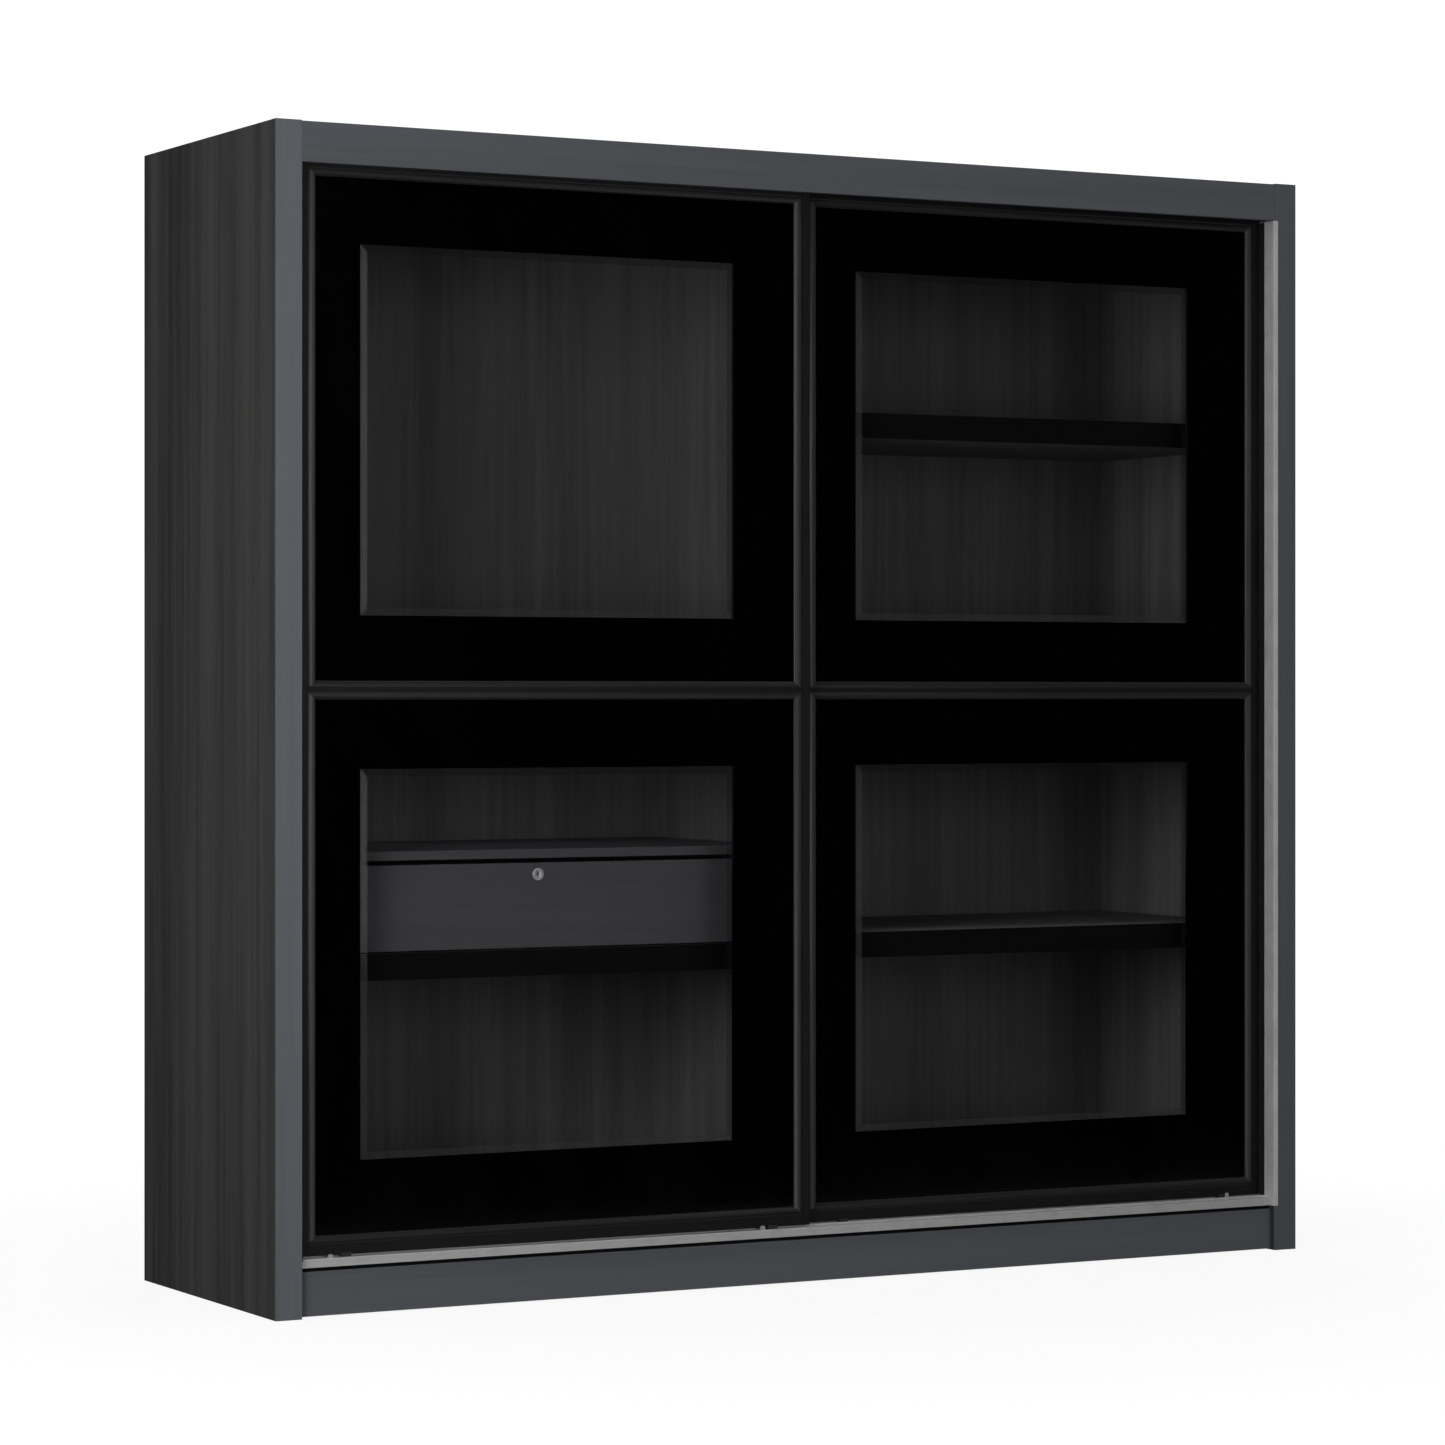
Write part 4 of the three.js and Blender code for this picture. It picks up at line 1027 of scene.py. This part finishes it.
def carriage(door, side):
    """A roller's housing: four walls, the axle, and a foot that hooks round the rail's front wall."""
    node = f"{door}_carriage_{side}"
    low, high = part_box(node)
    rail = door_box(door)[0]
    middle = (low.x + high.x) / 2
    front = rail.y + RAIL_CAVITY["front"] + CARRIAGE["gap"]
    bottom = rail.z + CARRIAGE["lift"]
    top = rail.z + RAIL_CAVITY["low"] - CARRIAGE["gap"]
    wall = CARRIAGE["wall"]
    outer = (low.x, high.x, front, high.y)
    inner = inset(outer, CARRIAGE["end"], CARRIAGE["end"], wall, wall)
    bm = bmesh.new()
    rings = []
    for (x0, x1, y0, y1), z in ((outer, bottom), (outer, top), (inner, top), (inner, bottom)):
        rings.append([bm.verts.new((x, y, z)) for x, y in ((x0, y0), (x1, y0), (x1, y1), (x0, y1))])
    join_rings(bm, rings, closed=True)
    round_edges(bm, bm.edges[:], 0.4 * MM, 2)
    clear = CARRIAGE["clear"]
    hook = low.z + CARRIAGE["hook"]
    foot = [(front + wall, bottom + MM), (front + wall, low.z), (low.y, low.z), (low.y, hook),
            (rail.y - clear, hook), (rail.y - clear, rail.z - clear), (front, rail.z - clear),
            (front, bottom + MM)]
    half = CARRIAGE["foot"] / 2
    add_prism(bm, rounded(foot, 0.3 * MM, 2), "X", middle - half, middle + half)
    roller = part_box(f"{door}_roller_{side}")
    axle_height = (roller[0].z + roller[1].z) / 2
    ends = [(CARRIAGE["axle"], front + 0.5 * MM), (CARRIAGE["axle"], high.y - 0.5 * MM)]
    add_lathe(bm, ends, (middle, 0, axle_height), "Y", 48, closed=False)
    finish_piece(f"{node}_housing", bm, [guide_look], door, node)


def door_fittings(door):
    """Carriages for the rollers. The top guides keep their CAD shapes."""
    for side in SIDES:
        carriage(door, side)
        dress(f"{door}_top_guide_{side}", guide_look)


def doors():
    for door in DOORS:
        door_frame(door)
        for level in LEVELS:
            bead(door, level)
            glazing(door, level)
        rollers(door)
        door_fittings(door)


# ---- drawer


def drawer():
    front = board("drawer_front_board", "drawer_front", DRAWER_FINISH, "drawer", DRAWER_ARRIS)
    low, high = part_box("lock_cylinder")
    lock_x = low.x + ROSETTE_RADIUS
    lock_z = (low.z + high.z) / 2
    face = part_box("drawer_front")
    bore = bmesh.new()
    ends = [(LOCK_BORE, face[0].y - 5 * MM), (LOCK_BORE, face[1].y + 5 * MM)]
    add_lathe(bore, ends, (lock_x, 0, lock_z), "Y", 64, closed=False)
    cut(front, bore)
    board("drawer_back_board", "drawer_back", DRAWER_FINISH, "drawer")
    board("drawer_base_board", "drawer_bottom", LEVEL_FINISH, "drawer", THIN_ARRIS)
    for side in SIDES:
        dress(f"drawer_side_{side}", drawer_look)
        dress(f"drawer_runner_{side}", runner_look)
    lock(lock_x, lock_z, face[0].y, high)


def lock(x, z, face, high):
    """A cam lock: rosette, plug with a keyway, barrel and cam."""
    rim = ROSETTE_RADIUS
    rosette = rounded([(6.2 * MM, -1.2 * MM), (6.2 * MM, -2.5 * MM), (rim, -2.5 * MM, 1.4 * MM),
                       (rim, -0.3 * MM, 0.2 * MM), (9 * MM, -0.3 * MM), (9 * MM, BARREL_LENGTH),
                       (6.2 * MM, BARREL_LENGTH)], 0.3 * MM, 5)
    lathe_piece("lock_rosette", rosette, (x, face, z), "Y", 72, lock_look, "lock",
                "lock_cylinder")
    plug = [(0.8 * MM, -1.9 * MM), (5.6 * MM, -1.9 * MM), (6.1 * MM, -1.5 * MM), (6.1 * MM, BARREL_LENGTH),
            (0.8 * MM, BARREL_LENGTH)]
    piece = lathe_piece("lock_plug", plug, (x, face, z), "Y", 64, lock_look, "lock",
                        closed=False)
    wide, tall = KEYWAY
    keyway = bmesh.new()
    add_box(keyway, (x - wide, face - 4 * MM, z - tall), (x + wide, face + 3 * MM, z + tall), 0)
    cut(piece, keyway)
    tail = x - 5 * MM
    blade = rounded([(tail, z - CAM_HALF), (high.x, z - CAM_HALF, 2 * MM), (high.x, z + CAM_HALF, 2 * MM),
                     (tail, z + CAM_HALF)], 3 * MM, 6)
    prism_piece("lock_cam", blade, "Y", high.y - CAM_THICKNESS, high.y, screw_look, "lock")


# ---- stage


def mix_shaders(tree, factor, first, second):
    mix = add_node(tree, "ShaderNodeMixShader", Fac=factor)
    tree.links.new(first, mix.inputs[1])
    tree.links.new(second, mix.inputs[2])
    return mix.outputs["Shader"]


def floor():
    """A wide pale floor that takes soft shadows and fades to the white of the backdrop."""
    bm = bmesh.new()
    bmesh.ops.create_grid(bm, x_segments=1, y_segments=1, size=45)
    plane = link_object("studio_floor", mesh_of("studio_floor", bm))
    material, tree, shader = new_material("studio_floor", Roughness=0.9, Specular_IOR_Level=0.1)
    grain = noise(tree, coordinates(tree), 3, 3, 0.5)
    tree.links.new(ramp(tree, grain, [(0.3, (0.80, 0.80, 0.80)), (0.7, (0.83, 0.83, 0.83))]),
                   shader.inputs["Base Color"])
    glow = add_node(tree, "ShaderNodeEmission", Color=(1, 1, 1, 1), Strength=BACKDROP)
    distance = add_node(tree, "ShaderNodeVectorMath", {"operation": "LENGTH"}, Vector=coordinates(tree))
    fade = spread(tree, distance.outputs["Value"], 0.8, 3.4, 0.84, 1.0, "SMOOTHSTEP")
    mixed = mix_shaders(tree, fade, shader.outputs["BSDF"], glow.outputs["Emission"])
    tree.links.new(mixed, tree.nodes["Material Output"].inputs["Surface"])
    plane.data.materials.append(material)
    plane.visible_diffuse = False
    plane.visible_glossy = False
    plane.visible_shadow = False


def backdrop():
    """White where the camera sees it, a dim even fill, and dark in reflections."""
    world = bpy.data.worlds.new("studio")
    world.use_nodes = True
    bpy.context.scene.world = world
    tree = world.node_tree
    shown = tree.nodes["Background"]
    shown.inputs["Color"].default_value = (1, 1, 1, 1)
    shown.inputs["Strength"].default_value = BACKDROP
    fill = add_node(tree, "ShaderNodeBackground", Color=(1, 1, 1, 1), Strength=FILL)
    mirrored = add_node(tree, "ShaderNodeBackground", Color=(1, 1, 1, 1), Strength=MIRRORED_FILL)
    path = add_node(tree, "ShaderNodeLightPath")
    unseen = mix_shaders(tree, path.outputs["Is Glossy Ray"], fill.outputs[0], mirrored.outputs[0])
    mixed = mix_shaders(tree, path.outputs["Is Camera Ray"], unseen, shown.outputs[0])
    tree.links.new(mixed, tree.nodes["World Output"].inputs["Surface"])


def area_light(name, place, target, size, power):
    light = bpy.data.lights.new(name, "AREA")
    light.shape = "RECTANGLE"
    light.size, light.size_y = size
    light.energy = power
    lamp = link_object(name, light)
    lamp.location = place
    lamp.rotation_euler = (Vector(target) - Vector(place)).to_track_quat("-Z", "Y").to_euler()
    lamp.visible_camera = False
    return lamp


def lights():
    """Softboxes, and cards that only reflections show. Each has its place, target, size and power."""
    for name, place, target, size, power in (
        ("side_softbox", (-4.9, -3.5, 1.7), (-0.6, 0, 1.0), (2.4, 2.4), 78),
        ("left_edge_softbox", (-2.4, -1.8, 1.2), (-1.0, -0.3, 1.1), (0.5, 1.1), 8),
        ("front_softbox", (0.6, -7.6, 1.5), (0.4, 0, 1.0), (2.9, 2.6), 49),
        ("overhead_softbox", (0, -0.5, 5.5), (0, -0.5, 0), (6.0, 5.0), 150),
        ("rear_softbox", (2.5, 5.0, 3.5), (0, 0, 0.8), (3.0, 3.0), 60),
        ("reflection_card_front", (3.4, -15.3, 0.6), (3.4, 0, 0.6), (3.6, 6.0), 66),
        ("reflection_card_low", (8.0, -15.3, -3.6), (8.0, 0, -3.6), (7.0, 3.6), 60),
    ):
        lamp = area_light(name, place, target, size, power)
        lamp.visible_diffuse = "card" not in name


def camera():
    data = bpy.data.cameras.new("camera")
    data.sensor_width = 36
    data.lens = CAMERA_LENS
    data.shift_y = CAMERA_SHIFT
    data.clip_end = 200
    eye = link_object("camera", data)
    eye.location = CAMERA_PLACE
    eye.rotation_euler = (math.radians(90), 0, math.radians(CAMERA_YAW))
    bpy.context.scene.camera = eye


camera()
side_panels()
top_and_plinths()
shelves()
backs()
hanging_rail()
tracks()
right_jamb()
track_clips()
doors()
drawer()
floor()
backdrop()
lights()
bpy.context.scene.view_settings.view_transform = "Standard"
